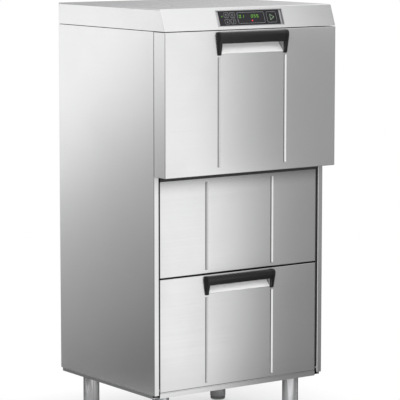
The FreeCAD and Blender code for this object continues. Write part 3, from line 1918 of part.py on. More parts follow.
side_panels()
rear_panel()
connection_plate()
base_tray()
legs_and_feet()
top_cover()
control_panel()
middle_panel()
wash_door()
wash_door_hinges()
lower_door()
wash_tub()
tub_fittings()
riser_duct()
spray_arms()
wash_pump()
drain_pump()
equipment_shelf()
boiler_and_electrics()
rear_connections()
check_and_export()
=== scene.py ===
# %% [markdown]
# A free-standing dishwasher in satin stainless steel: a raised wash chamber with a drop-down door, a plain
# service panel and a lower compartment with a door of its own. The solid parts arrive as a fixed frame
# that already has its true sizes and joints. This lesson lights it, gives each part a finish and adds the
# small pieces that make it look made: symbols, screws, seals, louvres and fittings.

# %% Load the frame
import json
import math

import bmesh
import bpy
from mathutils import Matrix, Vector


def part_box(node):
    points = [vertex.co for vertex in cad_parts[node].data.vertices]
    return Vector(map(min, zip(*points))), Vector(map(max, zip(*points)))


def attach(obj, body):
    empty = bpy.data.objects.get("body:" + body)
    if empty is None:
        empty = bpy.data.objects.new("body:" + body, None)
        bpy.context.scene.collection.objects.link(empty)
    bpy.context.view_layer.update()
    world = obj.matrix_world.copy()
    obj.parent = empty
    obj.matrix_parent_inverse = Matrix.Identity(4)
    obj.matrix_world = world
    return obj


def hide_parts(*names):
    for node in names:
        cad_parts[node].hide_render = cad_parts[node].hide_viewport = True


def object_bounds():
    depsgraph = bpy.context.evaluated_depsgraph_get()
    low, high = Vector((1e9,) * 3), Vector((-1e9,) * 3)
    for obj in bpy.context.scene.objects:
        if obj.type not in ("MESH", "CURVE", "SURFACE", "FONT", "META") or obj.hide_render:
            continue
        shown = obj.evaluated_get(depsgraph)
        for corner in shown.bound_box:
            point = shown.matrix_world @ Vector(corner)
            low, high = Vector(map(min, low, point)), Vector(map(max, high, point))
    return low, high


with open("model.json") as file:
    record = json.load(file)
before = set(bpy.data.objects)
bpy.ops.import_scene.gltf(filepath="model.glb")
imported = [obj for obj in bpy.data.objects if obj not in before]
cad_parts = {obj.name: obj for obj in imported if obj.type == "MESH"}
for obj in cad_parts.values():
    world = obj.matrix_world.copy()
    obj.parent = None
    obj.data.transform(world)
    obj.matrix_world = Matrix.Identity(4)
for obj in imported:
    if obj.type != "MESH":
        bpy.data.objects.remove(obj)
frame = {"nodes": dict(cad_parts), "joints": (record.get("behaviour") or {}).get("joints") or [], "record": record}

MM = 0.001
RIGHT = (1, 0, 0)
LEFT = (-1, 0, 0)
FRONT = (0, -1, 0)
BACK = (0, 1, 0)
UP = (0, 0, 1)
nodes = frame["nodes"]
cad_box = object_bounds()

# %% [markdown]
# The photograph was taken from the front left, a little above the door, through a long lens. A camera that
# is fitted to the edges of the cabinet gives its place, its turn and its focal length in pixels of a
# 400-pixel frame, so nothing has to be judged by eye.

# %% Camera
PHOTO_PIXELS = 400
FOCAL_PIXELS = 2227
SENSOR_MM = 36
CAMERA_PLACE = (-3.749, -5.345, 1.531)
CAMERA_YAW = 35.12
CAMERA_PITCH = 7.51

scene = bpy.context.scene
camera_data = bpy.data.cameras.new("studio_camera")
camera_data.sensor_width = SENSOR_MM
camera_data.lens = SENSOR_MM * FOCAL_PIXELS / PHOTO_PIXELS
camera = bpy.data.objects.new("studio_camera", camera_data)
camera.location = CAMERA_PLACE
camera.rotation_euler = (math.radians(90 - CAMERA_PITCH), 0, math.radians(-CAMERA_YAW))
scene.collection.objects.link(camera)
scene.camera = camera
scene.view_settings.view_transform = "Standard"
print(f"lens {camera_data.lens:.1f} mm")

# %% [markdown]
# Node trees are easier to read when a short helper makes one node, sets its plain values and wires its
# inputs. An input may be a number, a colour or another node's output socket.

# %% Helpers for node trees


def add_node(tree, kind, inputs=None, **settings):
    """One shader node; inputs maps a socket's name or index to a value or to an output socket."""
    node = tree.nodes.new(kind)
    for key, value in settings.items():
        setattr(node, key, value)
    for key, value in (inputs or {}).items():
        socket = node.inputs[key]
        if isinstance(value, bpy.types.NodeSocket):
            tree.links.new(value, socket)
        else:
            socket.default_value = value
    return node


def arithmetic(tree, operation, first, second=0.0, clamp=False):
    node = add_node(tree, "ShaderNodeMath", {0: first, 1: second}, operation=operation, use_clamp=clamp)
    return node.outputs[0]


def scaled(tree, value, share):
    return arithmetic(tree, "MULTIPLY", value, share)


def blend_colour(tree, factor, first, second, blend="MIX"):
    inputs = {0: factor, 6: first, 7: second}
    return add_node(tree, "ShaderNodeMix", inputs, data_type="RGBA", blend_type=blend).outputs[2]


def remap(tree, value, low, high, to_low=0.0, to_high=1.0):
    inputs = {"Value": value, "From Min": low, "From Max": high, "To Min": to_low, "To Max": to_high}
    return add_node(tree, "ShaderNodeMapRange", inputs).outputs["Result"]


def seen_as_backdrop(tree):
    """1 for rays from the camera, from gloss and through glass, 0 for rays that carry soft light."""
    path = add_node(tree, "ShaderNodeLightPath").outputs
    glossy = arithmetic(tree, "MAXIMUM", path["Is Camera Ray"], path["Is Glossy Ray"])
    return arithmetic(tree, "MAXIMUM", glossy, path["Is Transmission Ray"])


def bare_tree(owner):
    """The empty node tree of a world or a material."""
    owner.use_nodes = True
    owner.node_tree.nodes.clear()
    return owner.node_tree


def stage_sheet(name, corners, finish):
    """One flat four-cornered sheet that belongs to the studio."""
    mesh = bpy.data.meshes.new(name)
    mesh.from_pydata(corners, [], [(0, 1, 2, 3)])
    sheet = bpy.data.objects.new(name, mesh)
    sheet.data.materials.append(finish)
    scene.collection.objects.link(sheet)
    return sheet


# %% [markdown]
# A white studio: the world looks plain white to the camera and in reflections, and gives a softer, even
# light to everything else. The floor looks white too, apart from a share round the machine that is plain
# matt paint, and there the machine's shadow shows.

# %% World and floor
WHITE = (1, 1, 1, 1)
SOFT_LIGHT = 0.55
FLOOR_WHITE = 0.8
FLOOR_HALF = 25.0
MACHINE_HALF = 0.3
FLOOR_SHARE = 0.5
SHADOW_REACH = 0.3

world = bpy.data.worlds.new("studio_world")
scene.world = world
tree = bare_tree(world)
strength = remap(tree, seen_as_backdrop(tree), 0.0, 1.0, SOFT_LIGHT, 1.0)
background = add_node(tree, "ShaderNodeBackground", {"Color": WHITE, "Strength": strength})
add_node(tree, "ShaderNodeOutputWorld", {"Surface": background.outputs[0]})

floor_finish = bpy.data.materials.new("pale_floor")
tree = bare_tree(floor_finish)
matt = add_node(tree, "ShaderNodeBsdfDiffuse", {"Color": (FLOOR_WHITE, FLOOR_WHITE, FLOOR_WHITE, 1)})
glow = add_node(tree, "ShaderNodeEmission", {"Color": WHITE, "Strength": 1.0})
spot = add_node(tree, "ShaderNodeTexCoord").outputs["Object"]
distances = add_node(tree, "ShaderNodeVectorMath", {0: spot}, operation="ABSOLUTE").outputs[0]
sides = add_node(tree, "ShaderNodeSeparateXYZ", {0: distances}).outputs
furthest_side = arithmetic(tree, "MAXIMUM", sides["X"], sides["Y"])
outside = arithmetic(tree, "SUBTRACT", furthest_side, MACHINE_HALF)
open_share = remap(tree, outside, 0.0, SHADOW_REACH, FLOOR_SHARE, 1.0)
share = arithmetic(tree, "MULTIPLY", seen_as_backdrop(tree), open_share)
both = add_node(tree, "ShaderNodeMixShader", {0: share, 1: matt.outputs[0], 2: glow.outputs[0]})
add_node(tree, "ShaderNodeOutputMaterial", {"Surface": both.outputs[0]})
stage_sheet("floor", [(-FLOOR_HALF, -FLOOR_HALF, 0), (FLOOR_HALF, -FLOOR_HALF, 0),
                      (FLOOR_HALF, FLOOR_HALF, 0), (-FLOOR_HALF, FLOOR_HALF, 0)], floor_finish)
print(f"floor {2 * FLOOR_HALF:.0f} m wide, soft light {SOFT_LIGHT}")

# %% [markdown]
# Large soft lamps light the plastics and draw the shadows. They are left out of reflections, because bare
# steel would show each of them as a round spot.

# %% Lamps
MACHINE_MIDDLE = Vector((0.0, 0.0, 0.75))


def soft_lamp(name, place, width, power):
    data = bpy.data.lights.new(name, "AREA")
    data.shape = "DISK"
    data.size = width
    data.energy = power
    lamp = bpy.data.objects.new(name, data)
    lamp.location = place
    lamp.rotation_euler = (MACHINE_MIDDLE - Vector(place)).to_track_quat("-Z", "Y").to_euler()
    lamp.visible_glossy = False
    scene.collection.objects.link(lamp)
    print(f"{name}: {power} W")


soft_lamp("key_lamp", place=(-2.4, -3.2, 3.4), width=2.6, power=52)
soft_lamp("low_lamp", place=(-1.9, -3.4, 0.9), width=1.6, power=56)
soft_lamp("fill_lamp", place=(3.2, -2.2, 2.2), width=2.4, power=40)
soft_lamp("back_lamp", place=(0.6, 3.4, 3.2), width=2.6, power=70)

# %% [markdown]
# What steel shows is the room. Photographers stand grey cards beside a steel machine so that its flat sides
# run from light to dark, and the same is done here. A card is seen only in reflections, and a colour ramp
# sets how its brightness changes from one end to the other.

# %% Helpers for grey cards


def grey_card(name, corners, direction, steps):
    """A card whose brightness changes along a direction; steps are (distance along it, brightness)."""
    finish = bpy.data.materials.new(name)
    tree = bare_tree(finish)
    place = add_node(tree, "ShaderNodeTexCoord").outputs["Object"]
    along = add_node(tree, "ShaderNodeVectorMath", {0: place, 1: direction}, operation="DOT_PRODUCT")
    low = steps[0][0]
    high = steps[-1][0]
    ramp = add_node(tree, "ShaderNodeValToRGB", {0: remap(tree, along.outputs["Value"], low, high)})
    ramp.color_ramp.interpolation = "B_SPLINE"
    elements = ramp.color_ramp.elements
    while len(elements) < len(steps):
        elements.new(0.5)
    for element, (distance, grey) in zip(elements, steps):
        element.position = (distance - low) / (high - low)
        element.color = (grey, grey, grey, 1)
    glow = add_node(tree, "ShaderNodeEmission", {"Color": ramp.outputs[0], "Strength": 1.0})
    add_node(tree, "ShaderNodeOutputMaterial", {"Surface": glow.outputs[0]})
    card = stage_sheet(name, corners, finish)
    for ray in ("visible_camera", "visible_diffuse", "visible_transmission", "visible_shadow"):
        setattr(card, ray, False)
    print(f"{name}: {len(steps)} steps")


def upright_card(name, start, end, low, high, direction, steps):
    grey_card(name, [(*start, low), (*end, low), (*end, high), (*start, high)], direction, steps)


def floor_card(name, near, far, direction, steps):
    corners = [near, (far[0], near[1]), far, (near[0], far[1])]
    grey_card(name, [(*corner, FLOOR_GAP) for corner in corners], direction, steps)


# %% [markdown]
# The cards in front stand a metre away and run from dark on the far left over white to dark on the right.
# From the front left, where the photograph was taken, the doors show the right half of them; from the other
# side they show the left half. A card on the floor carries the run on down to the legs.

# %% Cards in front
FLOOR_GAP = 0.004
FRONT_CARD_Y = -1.0
FRONT_CARD_LEFT = -2.6
FRONT_CARD_RIGHT = 3.2
FRONT_CARD_FOOT = -0.32
DOOR_CARD = (0.66, 1.22)
MIDDLE_CARD = (0.33, 0.66)
LOWER_CARD = (0.0, 0.33)
FASCIA_CARD = (1.34, 2.6)
FASCIA_CARD_LEFT = -0.6
LOW_SLANT = (1.0, 0.0, -0.1)
FLOOR_TILT = 0.7
FLOOR_SHIFT = 0.02
FLOOR_DIM = 0.82
far_left = [(-1.6, 0.2), (-0.7, 0.32), (-0.3, 0.5), (-0.04, 0.64), (0.08, 0.95), (0.18, 1.0)]
door_steps = far_left + [(0.28, 1.0), (0.36, 0.97), (0.46, 0.62), (0.56, 0.38), (0.68, 0.345),
                         (0.96, 0.345), (1.8, 0.33)]
middle_steps = far_left + [(0.33, 1.0), (0.44, 0.98), (0.54, 0.62), (0.64, 0.345), (0.76, 0.285),
                           (1.0, 0.29), (1.8, 0.28)]
lower_steps = far_left + [(0.33, 1.0), (0.45, 1.0), (0.54, 0.6), (0.64, 0.3), (0.74, 0.24),
                          (1.0, 0.23), (1.8, 0.25)]
fascia_steps = [(0.5, 1.0), (0.68, 0.98), (0.85, 0.74), (1.0, 0.45), (1.3, 0.34)]
floor_steps = [(distance + FLOOR_TILT * FRONT_CARD_Y - FLOOR_SHIFT, grey * FLOOR_DIM)
               for distance, grey in lower_steps]
front_left = (FRONT_CARD_LEFT, FRONT_CARD_Y)
front_right = (FRONT_CARD_RIGHT, FRONT_CARD_Y)
upright_card("door_card", front_left, front_right, *DOOR_CARD, RIGHT, door_steps)
upright_card("middle_card", front_left, front_right, *MIDDLE_CARD, LOW_SLANT, middle_steps)
upright_card("lower_card", front_left, front_right, *LOWER_CARD, LOW_SLANT, lower_steps)
upright_card("fascia_card", (FASCIA_CARD_LEFT, FRONT_CARD_Y), front_right, *FASCIA_CARD, RIGHT, fascia_steps)
floor_card("front_floor_card", front_left, (FRONT_CARD_RIGHT, FRONT_CARD_FOOT), (1, FLOOR_TILT, 0),
           floor_steps)

# %% [markdown]
# On the left a card that lightens towards the top and the back gives the side panel its slow fade. The
# cards on the floor beside, behind and under the machine are dark. A round leg shows them at its edges and
# the bright front in its middle, which is how a tube looks in a studio.

# %% Cards beside, behind and below
SIDE_CARD_X = -0.65
SIDE_CARD_HEIGHTS = (0.012, 1.3)
SIDE_FADE = (0.0, 0.62, 1.0)
RIGHT_CARD_X = 1.7
RIGHT_CARD_HEIGHTS = (0.0, 1.9)
RIGHT_FADE = (0.0, 1.0, 0.25)
BACK_CARD_Y = 1.3
BACK_CARD_HALF = 2.6
BACK_CARD_HEIGHTS = (1.2, 2.2)
LOW_BACK_Y = 1.35
LOW_BACK_HEIGHTS = (0.0, 0.6)
FOOTPRINT = 0.32
side_steps = [(0.3, 0.16), (0.5, 0.26), (0.75, 0.37), (0.95, 0.47), (1.1, 0.64), (1.25, 0.84),
              (1.4, 0.97), (1.55, 1.0)]
right_steps = [(-0.9, 0.02), (-0.66, 0.03), (-0.45, 0.2), (-0.2, 0.36), (0.5, 0.42), (1.5, 0.6)]
back_steps = [(-2.6, 0.75), (-1.4, 0.6), (-0.6, 0.34), (0.6, 0.44), (1.4, 0.56), (2.6, 0.75)]
upright_card("side_card", (SIDE_CARD_X, -0.4), (SIDE_CARD_X, 1.6), *SIDE_CARD_HEIGHTS, SIDE_FADE, side_steps)
upright_card("right_card", (RIGHT_CARD_X, -0.95), (RIGHT_CARD_X, 1.4), *RIGHT_CARD_HEIGHTS, RIGHT_FADE,
             right_steps)
upright_card("back_card", (-BACK_CARD_HALF, BACK_CARD_Y), (BACK_CARD_HALF, BACK_CARD_Y), *BACK_CARD_HEIGHTS,
             RIGHT, back_steps)
upright_card("low_back_card", (-1.6, LOW_BACK_Y), (3.0, LOW_BACK_Y), *LOW_BACK_HEIGHTS, UP,
             [(0.0, 0.1), (0.6, 0.3)])
floor_card("side_floor_card", (SIDE_CARD_X, -0.25), (-FOOTPRINT, 1.6), BACK,
           [(-0.25, 0.28), (0.3, 0.34), (0.55, 0.1), (1.6, 0.1)])
floor_card("right_floor_card", (FOOTPRINT, -0.3), (RIGHT_CARD_X, FOOTPRINT), RIGHT,
           [(0.32, 0.08), (1.7, 0.2)])
floor_card("under_card", (-FOOTPRINT, -FOOTPRINT), (FOOTPRINT, FOOTPRINT), BACK,
           [(-0.32, 0.45), (0.32, 0.02)])
floor_card("back_floor_card", (-FOOTPRINT, FOOTPRINT), (2.4, BACK_CARD_Y), BACK,
           [(0.32, 0.08), (1.3, 0.2)])

# %% [markdown]
# Finishes that many parts share are built once as node groups and placed in each material with its own
# values. Brushed grain comes from noise that is pulled out along the way that the sheet was ground. Hand
# marks are broad, faint clouds where a surface is wiped.

# %% Grain and hand marks
FLOAT = "NodeSocketFloat"
VECTOR = "NodeSocketVector"
POSITION = ("Position", VECTOR, (0, 0, 0))
GRAIN_SPREAD = (0.1, 0.45)
GRAIN_SHADES = (0.985, 1.0)
GRAIN_ROUGHNESS = (0.02, -0.015)
MARK_SPREAD = (0.42, 0.72)


def new_group(name, inputs, outputs):
    """A node group; inputs are (name, kind, first value), and every output is a number."""
    group = bpy.data.node_groups.new(name, "ShaderNodeTree")
    for label, kind, start in inputs:
        socket = group.interface.new_socket(label, in_out="INPUT", socket_type=kind)
        socket.default_value = start
    for label in outputs:
        group.interface.new_socket(label, in_out="OUTPUT", socket_type=FLOAT)
    entry = group.nodes.new("NodeGroupInput").outputs
    leave = group.nodes.new("NodeGroupOutput").inputs
    print("group:", name)
    return group, entry, leave


brushed_grain, entry, leave = new_group(
    "brushed grain", [POSITION, ("Stretch", VECTOR, (1, 1, 1))], ["Shade", "Roughness", "Height"])
tree = brushed_grain
pulled = add_node(tree, "ShaderNodeVectorMath", {0: entry["Position"], 1: entry["Stretch"]},
                  operation="MULTIPLY").outputs[0]
fine = add_node(tree, "ShaderNodeTexNoise",
                {"Vector": pulled, "Scale": 1.0, "Detail": 3.0, "Roughness": 0.6})
broad = add_node(tree, "ShaderNodeTexNoise", {"Vector": pulled, "Scale": 0.12, "Detail": 1.0})
grain = arithmetic(tree, "MULTIPLY", fine.outputs["Fac"], broad.outputs["Fac"])
tree.links.new(remap(tree, grain, *GRAIN_SPREAD, *GRAIN_SHADES), leave["Shade"])
tree.links.new(remap(tree, grain, *GRAIN_SPREAD, *GRAIN_ROUGHNESS), leave["Roughness"])
tree.links.new(grain, leave["Height"])

hand_marks, entry, leave = new_group("hand marks", [POSITION, ("Scale", FLOAT, 4.0)], ["Mask"])
tree = hand_marks
cloud = add_node(tree, "ShaderNodeTexNoise", {"Vector": entry["Position"], "Scale": entry["Scale"],
                                              "Detail": 5.0, "Roughness": 0.55, "Distortion": 0.6})
tree.links.new(remap(tree, cloud.outputs["Fac"], *MARK_SPREAD), leave["Mask"])

# %% [markdown]
# Edge wear compares the true normal with a rounded one, so it lands on folds. Dust lies on what faces up.
# Painted shade darkens closed corners: how much of the sky a point sees sets it. Moulded plastic has a
# fine pebbled skin, which cells of different sizes give.

# %% Wear, dust, painted corner shade and moulded skin
FOLD_SPREAD = (0.99, 0.8)
CHIP_SPREAD = (0.35, 0.65)
FACING_UP = (0.6, 1.0)
MOTE_SPREAD = (0.4, 0.75)
CORNER_SPREAD = (0.96, 0.4)

edge_wear, entry, leave = new_group("edge wear", [POSITION, ("Width", FLOAT, 0.002)], ["Mask"])
tree = edge_wear
true_normal = add_node(tree, "ShaderNodeNewGeometry").outputs["Normal"]
rounded = add_node(tree, "ShaderNodeBevel", {"Radius": entry["Width"]}, samples=4).outputs["Normal"]
agreement = add_node(tree, "ShaderNodeVectorMath", {0: true_normal, 1: rounded}, operation="DOT_PRODUCT")
fold = remap(tree, agreement.outputs["Value"], *FOLD_SPREAD)
chips = add_node(tree, "ShaderNodeTexNoise", {"Vector": entry["Position"], "Scale": 60.0, "Detail": 4.0})
worn = arithmetic(tree, "MULTIPLY", fold, remap(tree, chips.outputs["Fac"], *CHIP_SPREAD))
tree.links.new(worn, leave["Mask"])

settled_dust, entry, leave = new_group("settled dust", [POSITION], ["Mask"])
tree = settled_dust
true_normal = add_node(tree, "ShaderNodeNewGeometry").outputs["Normal"]
facing = add_node(tree, "ShaderNodeSeparateXYZ", {0: true_normal}).outputs["Z"]
motes = add_node(tree, "ShaderNodeTexNoise", {"Vector": entry["Position"], "Scale": 35.0, "Detail": 6.0})
lying = arithmetic(tree, "MULTIPLY", remap(tree, facing, *FACING_UP),
                   remap(tree, motes.outputs["Fac"], *MOTE_SPREAD))
tree.links.new(lying, leave["Mask"])

# painted shade: this mask is high where little of the sky is seen, and darkens the colour there
corner_shade, entry, leave = new_group("corner shade", [("Reach", FLOAT, 0.05)], ["Mask"])
tree = corner_shade
openness = add_node(tree, "ShaderNodeAmbientOcclusion", {"Distance": entry["Reach"]}, samples=8)
tree.links.new(remap(tree, openness.outputs["AO"], *CORNER_SPREAD), leave["Mask"])

moulded_skin, entry, leave = new_group("moulded skin", [POSITION, ("Scale", FLOAT, 900.0)], ["Height"])
tree = moulded_skin
pebble = add_node(tree, "ShaderNodeTexVoronoi", {"Vector": entry["Position"], "Scale": entry["Scale"]},
                  feature="SMOOTH_F1")
tree.links.new(pebble.outputs["Distance"], leave["Height"])

# %% [markdown]
# Each material keeps its own shader, and the groups only feed it. The steel is a metal whose roughness
# follows the grain; where the grain runs is set by how far the noise is stretched along each axis. Wiped
# places are duller, folds brighter, and closed corners darker with painted shade.

# %% Steel
GRAIN_ALONG = 6.0
GRAIN_ACROSS = 2600.0
GRAIN_BUMP = 0.03
GRAIN_DEPTH = 0.0001
STEEL_MARKS = 5.0
STEEL_EDGE = 0.0015
CORNER_SHADE_REACH = 0.06
DULL = 0.94
BRIGHT = 1.06
MARK_SHARE = 0.35
WEAR_SHARE = 0.6
MARK_ROUGHNESS = 0.035


def start_material(name, metallic, roughness):
    material = bpy.data.materials.new(name)
    material.use_nodes = True
    tree = material.node_tree
    shader = tree.nodes["Principled BSDF"].inputs
    shader["Metallic"].default_value = metallic
    shader["Roughness"].default_value = roughness
    place = add_node(tree, "ShaderNodeTexCoord").outputs["Object"]
    return material, tree, shader, place


def placed(tree, group, output, **inputs):
    """One output of a shared group, placed in a material."""
    return add_node(tree, "ShaderNodeGroup", inputs, node_tree=group).outputs[output]


def toned(colour, share):
    return tuple(min(1.0, part * share) for part in colour) + (1,)


def bump(tree, shader, height, strength, distance):
    node = add_node(tree, "ShaderNodeBump", {"Height": height, "Strength": strength, "Distance": distance})
    tree.links.new(node.outputs["Normal"], shader["Normal"])


def steel(name, colour, along, roughness, dusty=0.0, painted_shade=0.48, metal=1.0):
    """Satin sheet ground along one axis; painted shade darkens it in closed corners."""
    material, tree, shader, place = start_material(name, metal, roughness)
    stretch = [GRAIN_ALONG if axis == along else GRAIN_ACROSS for axis in "XYZ"]
    inputs = {"Position": place, "Stretch": stretch}
    grain = add_node(tree, "ShaderNodeGroup", inputs, node_tree=brushed_grain).outputs
    marks = placed(tree, hand_marks, "Mask", Position=place, Scale=STEEL_MARKS)
    wear = placed(tree, edge_wear, "Mask", Position=place, Width=STEEL_EDGE)
    dust = placed(tree, settled_dust, "Mask", Position=place)
    # painted shade: the corner mask darkens the steel's colour where little of the sky is seen
    closed = placed(tree, corner_shade, "Mask", Reach=CORNER_SHADE_REACH)
    grey = blend_colour(tree, scaled(tree, marks, MARK_SHARE), (*colour, 1), toned(colour, DULL))
    grey = blend_colour(tree, scaled(tree, wear, WEAR_SHARE), grey, toned(colour, BRIGHT))
    grey = blend_colour(tree, closed, grey, toned(colour, 1 - painted_shade))
    shade = add_node(tree, "ShaderNodeCombineColor", {channel: grain["Shade"] for channel in range(3)})
    ground = blend_colour(tree, 1.0, grey, shade.outputs[0], "MULTIPLY")
    tree.links.new(ground, shader["Base Color"])
    rough = arithmetic(tree, "ADD", grain["Roughness"], roughness)
    rough = arithmetic(tree, "ADD", rough, scaled(tree, marks, MARK_ROUGHNESS))
    rough = arithmetic(tree, "ADD", rough, scaled(tree, dust, dusty))
    tree.links.new(rough, shader["Roughness"])
    bump(tree, shader, grain["Height"], GRAIN_BUMP, GRAIN_DEPTH)
    return material


# %% [markdown]
# Plastics, rubber and the dark control glass share one recipe: a pebbled skin, hand marks in the gloss,
# paler edges and some dust. The glass has hardly any pebble, and rubber has the most dust. Lights behind
# the glass glow a little, with a fine speckle, because a lit segment is never quite even. The grey print
# glows a little too, and that glow is painted light.

# %% Mouldings, print and lights
PLASTIC_MARKS = 9.0
PLASTIC_EDGE = 0.001
PALE_SHARE = 0.8
PALE_LIFT = 0.06
PLASTIC_WEAR = 0.3
PLASTIC_MARK_ROUGHNESS = 0.12
DUST_COLOUR = (0.45, 0.44, 0.42, 1)
DUST_TINT = 0.2
DUST_ROUGHNESS = 0.3
SKIN_BUMP = 0.25
PRINT_ROUGHNESS = 0.4
SPECKLE = 300.0
SPECKLE_SHARE = 0.4
SPECKLE_DIM = 0.8


def moulding(name, colour, roughness, pebble=900.0, depth=0.00006, dusty=0.3, specular=0.5):
    """Moulded plastic, rubber or dark glass."""
    material, tree, shader, place = start_material(name, 0.0, roughness)
    marks = placed(tree, hand_marks, "Mask", Position=place, Scale=PLASTIC_MARKS)
    wear = placed(tree, edge_wear, "Mask", Position=place, Width=PLASTIC_EDGE)
    dust = placed(tree, settled_dust, "Mask", Position=place)
    skin = placed(tree, moulded_skin, "Height", Position=place, Scale=pebble)
    pale = tuple(part * PALE_SHARE + PALE_LIFT for part in colour) + (1,)
    tint = blend_colour(tree, scaled(tree, wear, PLASTIC_WEAR), (*colour, 1), pale)
    tint = blend_colour(tree, scaled(tree, dust, dusty * DUST_TINT), tint, DUST_COLOUR)
    tree.links.new(tint, shader["Base Color"])
    rough = arithmetic(tree, "ADD", scaled(tree, marks, PLASTIC_MARK_ROUGHNESS), roughness)
    rough = arithmetic(tree, "ADD", rough, scaled(tree, dust, dusty * DUST_ROUGHNESS), clamp=True)
    tree.links.new(rough, shader["Roughness"])
    shader["Specular IOR Level"].default_value = specular
    bump(tree, shader, skin, SKIN_BUMP, depth)
    return material


def lamp_print(name, colour, strength):
    """A lamp behind the glass, or print: it glows a little and wears nowhere; on print the glow is painted light.
    """
    material, tree, shader, place = start_material(name, 0.0, PRINT_ROUGHNESS)
    speck = placed(tree, hand_marks, "Mask", Position=place, Scale=SPECKLE)
    tone = blend_colour(tree, scaled(tree, speck, SPECKLE_SHARE), (*colour, 1), toned(colour, SPECKLE_DIM))
    tree.links.new(tone, shader["Base Color"])
    tree.links.new(tone, shader["Emission Color"])
    shader["Emission Strength"].default_value = strength
    return material


# %% [markdown]
# The outer sheets are one satin steel, ground crosswise on the fronts and lengthwise on the sides. The
# middle panel lies back under the wash door, so its painted corner shade is strong enough to stand for the
# shade up there. The legs are brighter tube, and the handles are a gloss moulding.

# %% The machine's finishes
SATIN = (0.885, 0.887, 0.89)
finishes = {
    "steel_x": steel("satin_steel_crosswise", SATIN, "X", 0.22),
    "steel_y": steel("satin_steel_lengthwise", SATIN, "Y", 0.22),
    # painted shade: the middle panel's colour is darkened almost to black under the wash door's overhang
    "steel_ledge": steel("satin_steel_painted_ledge_shade", SATIN, "X", 0.22, painted_shade=0.98),
    "steel_top": steel("satin_steel_top", SATIN, "X", 0.24, dusty=0.015),
    "steel_inner": steel("satin_steel_inner", (0.72, 0.72, 0.715), "Y", 0.26),
    "polished": steel("polished_steel", (0.8, 0.8, 0.81), "Z", 0.14),
    "leg": steel("leg_steel", (0.86, 0.865, 0.875), "Z", 0.14, metal=0.9),
    "bezel": steel("bezel_aluminium", (0.62, 0.62, 0.63), "X", 0.28),
    "edging": steel("base_edging", (0.6, 0.605, 0.61), "Y", 0.3),
    "motor": steel("cast_motor", (0.42, 0.43, 0.45), "X", 0.45),
    "brass": steel("valve_brass", (0.75, 0.56, 0.22), "Y", 0.28),
    "copper": steel("copper_pipe", (0.74, 0.43, 0.3), "X", 0.26),
    "handle": moulding("black_gloss_handle", (0.004, 0.004, 0.0045), 0.2, pebble=500, depth=1e-5, dusty=0.1),
    "glass": moulding("black_control_glass", (0.006, 0.006, 0.009), 0.08, pebble=60, depth=4e-6, dusty=0.1,
                      specular=0.4),
    "key": moulding("black_key", (0.007, 0.007, 0.009), 0.16, pebble=700, depth=1e-5, dusty=0.1,
                    specular=0.35),
    "board": moulding("green_board", (0.03, 0.16, 0.07), 0.45, pebble=1200),
    "rubber": moulding("black_rubber", (0.022, 0.022, 0.022), 0.6, pebble=1500, depth=1e-4, dusty=0.6),
    "tray": moulding("pale_finger_tray", (0.86, 0.86, 0.86), 0.35, pebble=700, depth=3e-5, dusty=0.1),
    "pump": moulding("grey_pump_plastic", (0.09, 0.09, 0.1), 0.4),
    "jacket": moulding("pale_boiler_jacket", (0.66, 0.67, 0.68), 0.55, pebble=260, depth=4e-4),
    # painted light: the grey print glows a little though it is no lamp
    "print": lamp_print("grey_print_painted_glow", (0.24, 0.245, 0.255), 0.08),
    "green_light": lamp_print("green_light", (0.12, 0.34, 0.025), 0.35),
    "red_light": lamp_print("red_light", (0.62, 0.012, 0.035), 0.5),
    "start_light": lamp_print("start_light", (0.24, 0.34, 0.22), 0.25),
}
print(f"{len(finishes)} finishes")

# %% [markdown]
# The solid parts keep their shapes and get a finish by name, so that one list shows what each part of the
# machine is made of. A part without a material slot gets a new one.

# %% Dress the solid parts
PART_FINISH = {
    "steel_x": ["rear_panel", "connection_plate", "base_tray", "door_skin", "lower_door_skin"],
    "steel_ledge": ["middle_panel"],
    "steel_y": ["side_panel_left", "side_panel_right"],
    "steel_top": ["top_cover"],
    "steel_inner": ["wash_tub", "door_liner", "lower_door_liner", "rack_rails", "equipment_shelf",
                    "riser_duct", "tank_filter", "hinge_brackets", "door_hinge_arms", "lower_hinge_pins",
                    "torsion_bar", "sump_well"],
    "leg": ["leg_tubes"],
    "polished": ["lower_wash_arm", "lower_rinse_arm", "upper_wash_arm", "upper_rinse_arm",
                 "lower_spindle", "upper_spindle", "spindle_nuts", "overflow_pipe", "tank_heater",
                 "foot_front_left", "foot_front_right", "foot_rear_left", "foot_rear_right"],
    "handle": ["door_handle", "lower_door_handle"],
    "bezel": ["control_bezel"],
    "glass": ["control_glass"],
    "key": ["key_power", "key_program", "key_temperature", "key_drain", "key_start"],
    "board": ["control_board"],
    "rubber": ["door_gasket", "suction_hose", "drain_hose"],
    "pump": ["wash_pump_body", "wash_pump_impeller", "drain_pump", "dosing_pumps", "delivery_pipe",
             "drain_spigot", "cable_gland", "electrical_box"],
    "motor": ["wash_pump_motor"],
    "jacket": ["boiler"],
    "brass": ["inlet_valve"],
    "copper": ["feed_pipe"],
}
dressed = 0
for finish, parts in PART_FINISH.items():
    for part in parts:
        slots = nodes[part].material_slots
        for slot in slots:
            slot.material = finishes[finish]
        if not slots:
            nodes[part].data.materials.append(finishes[finish])
        dressed += 1
print(f"{dressed} of {len(nodes)} solid parts dressed")

# %% [markdown]
# The small pieces are made in mesh code from moves that a workshop also uses: cutting a flat plate to an
# outline, cutting a window into it, and turning a profile on a lathe. All three come down to one helper that
# joins loops of points by quads. A piece is welded, given smooth faces with sharp folds, tied to the body
# that carries it and given that body's kind of finish.

# %% Helpers for pieces
SHARP_ANGLE = math.radians(38)
WELD = 1e-7


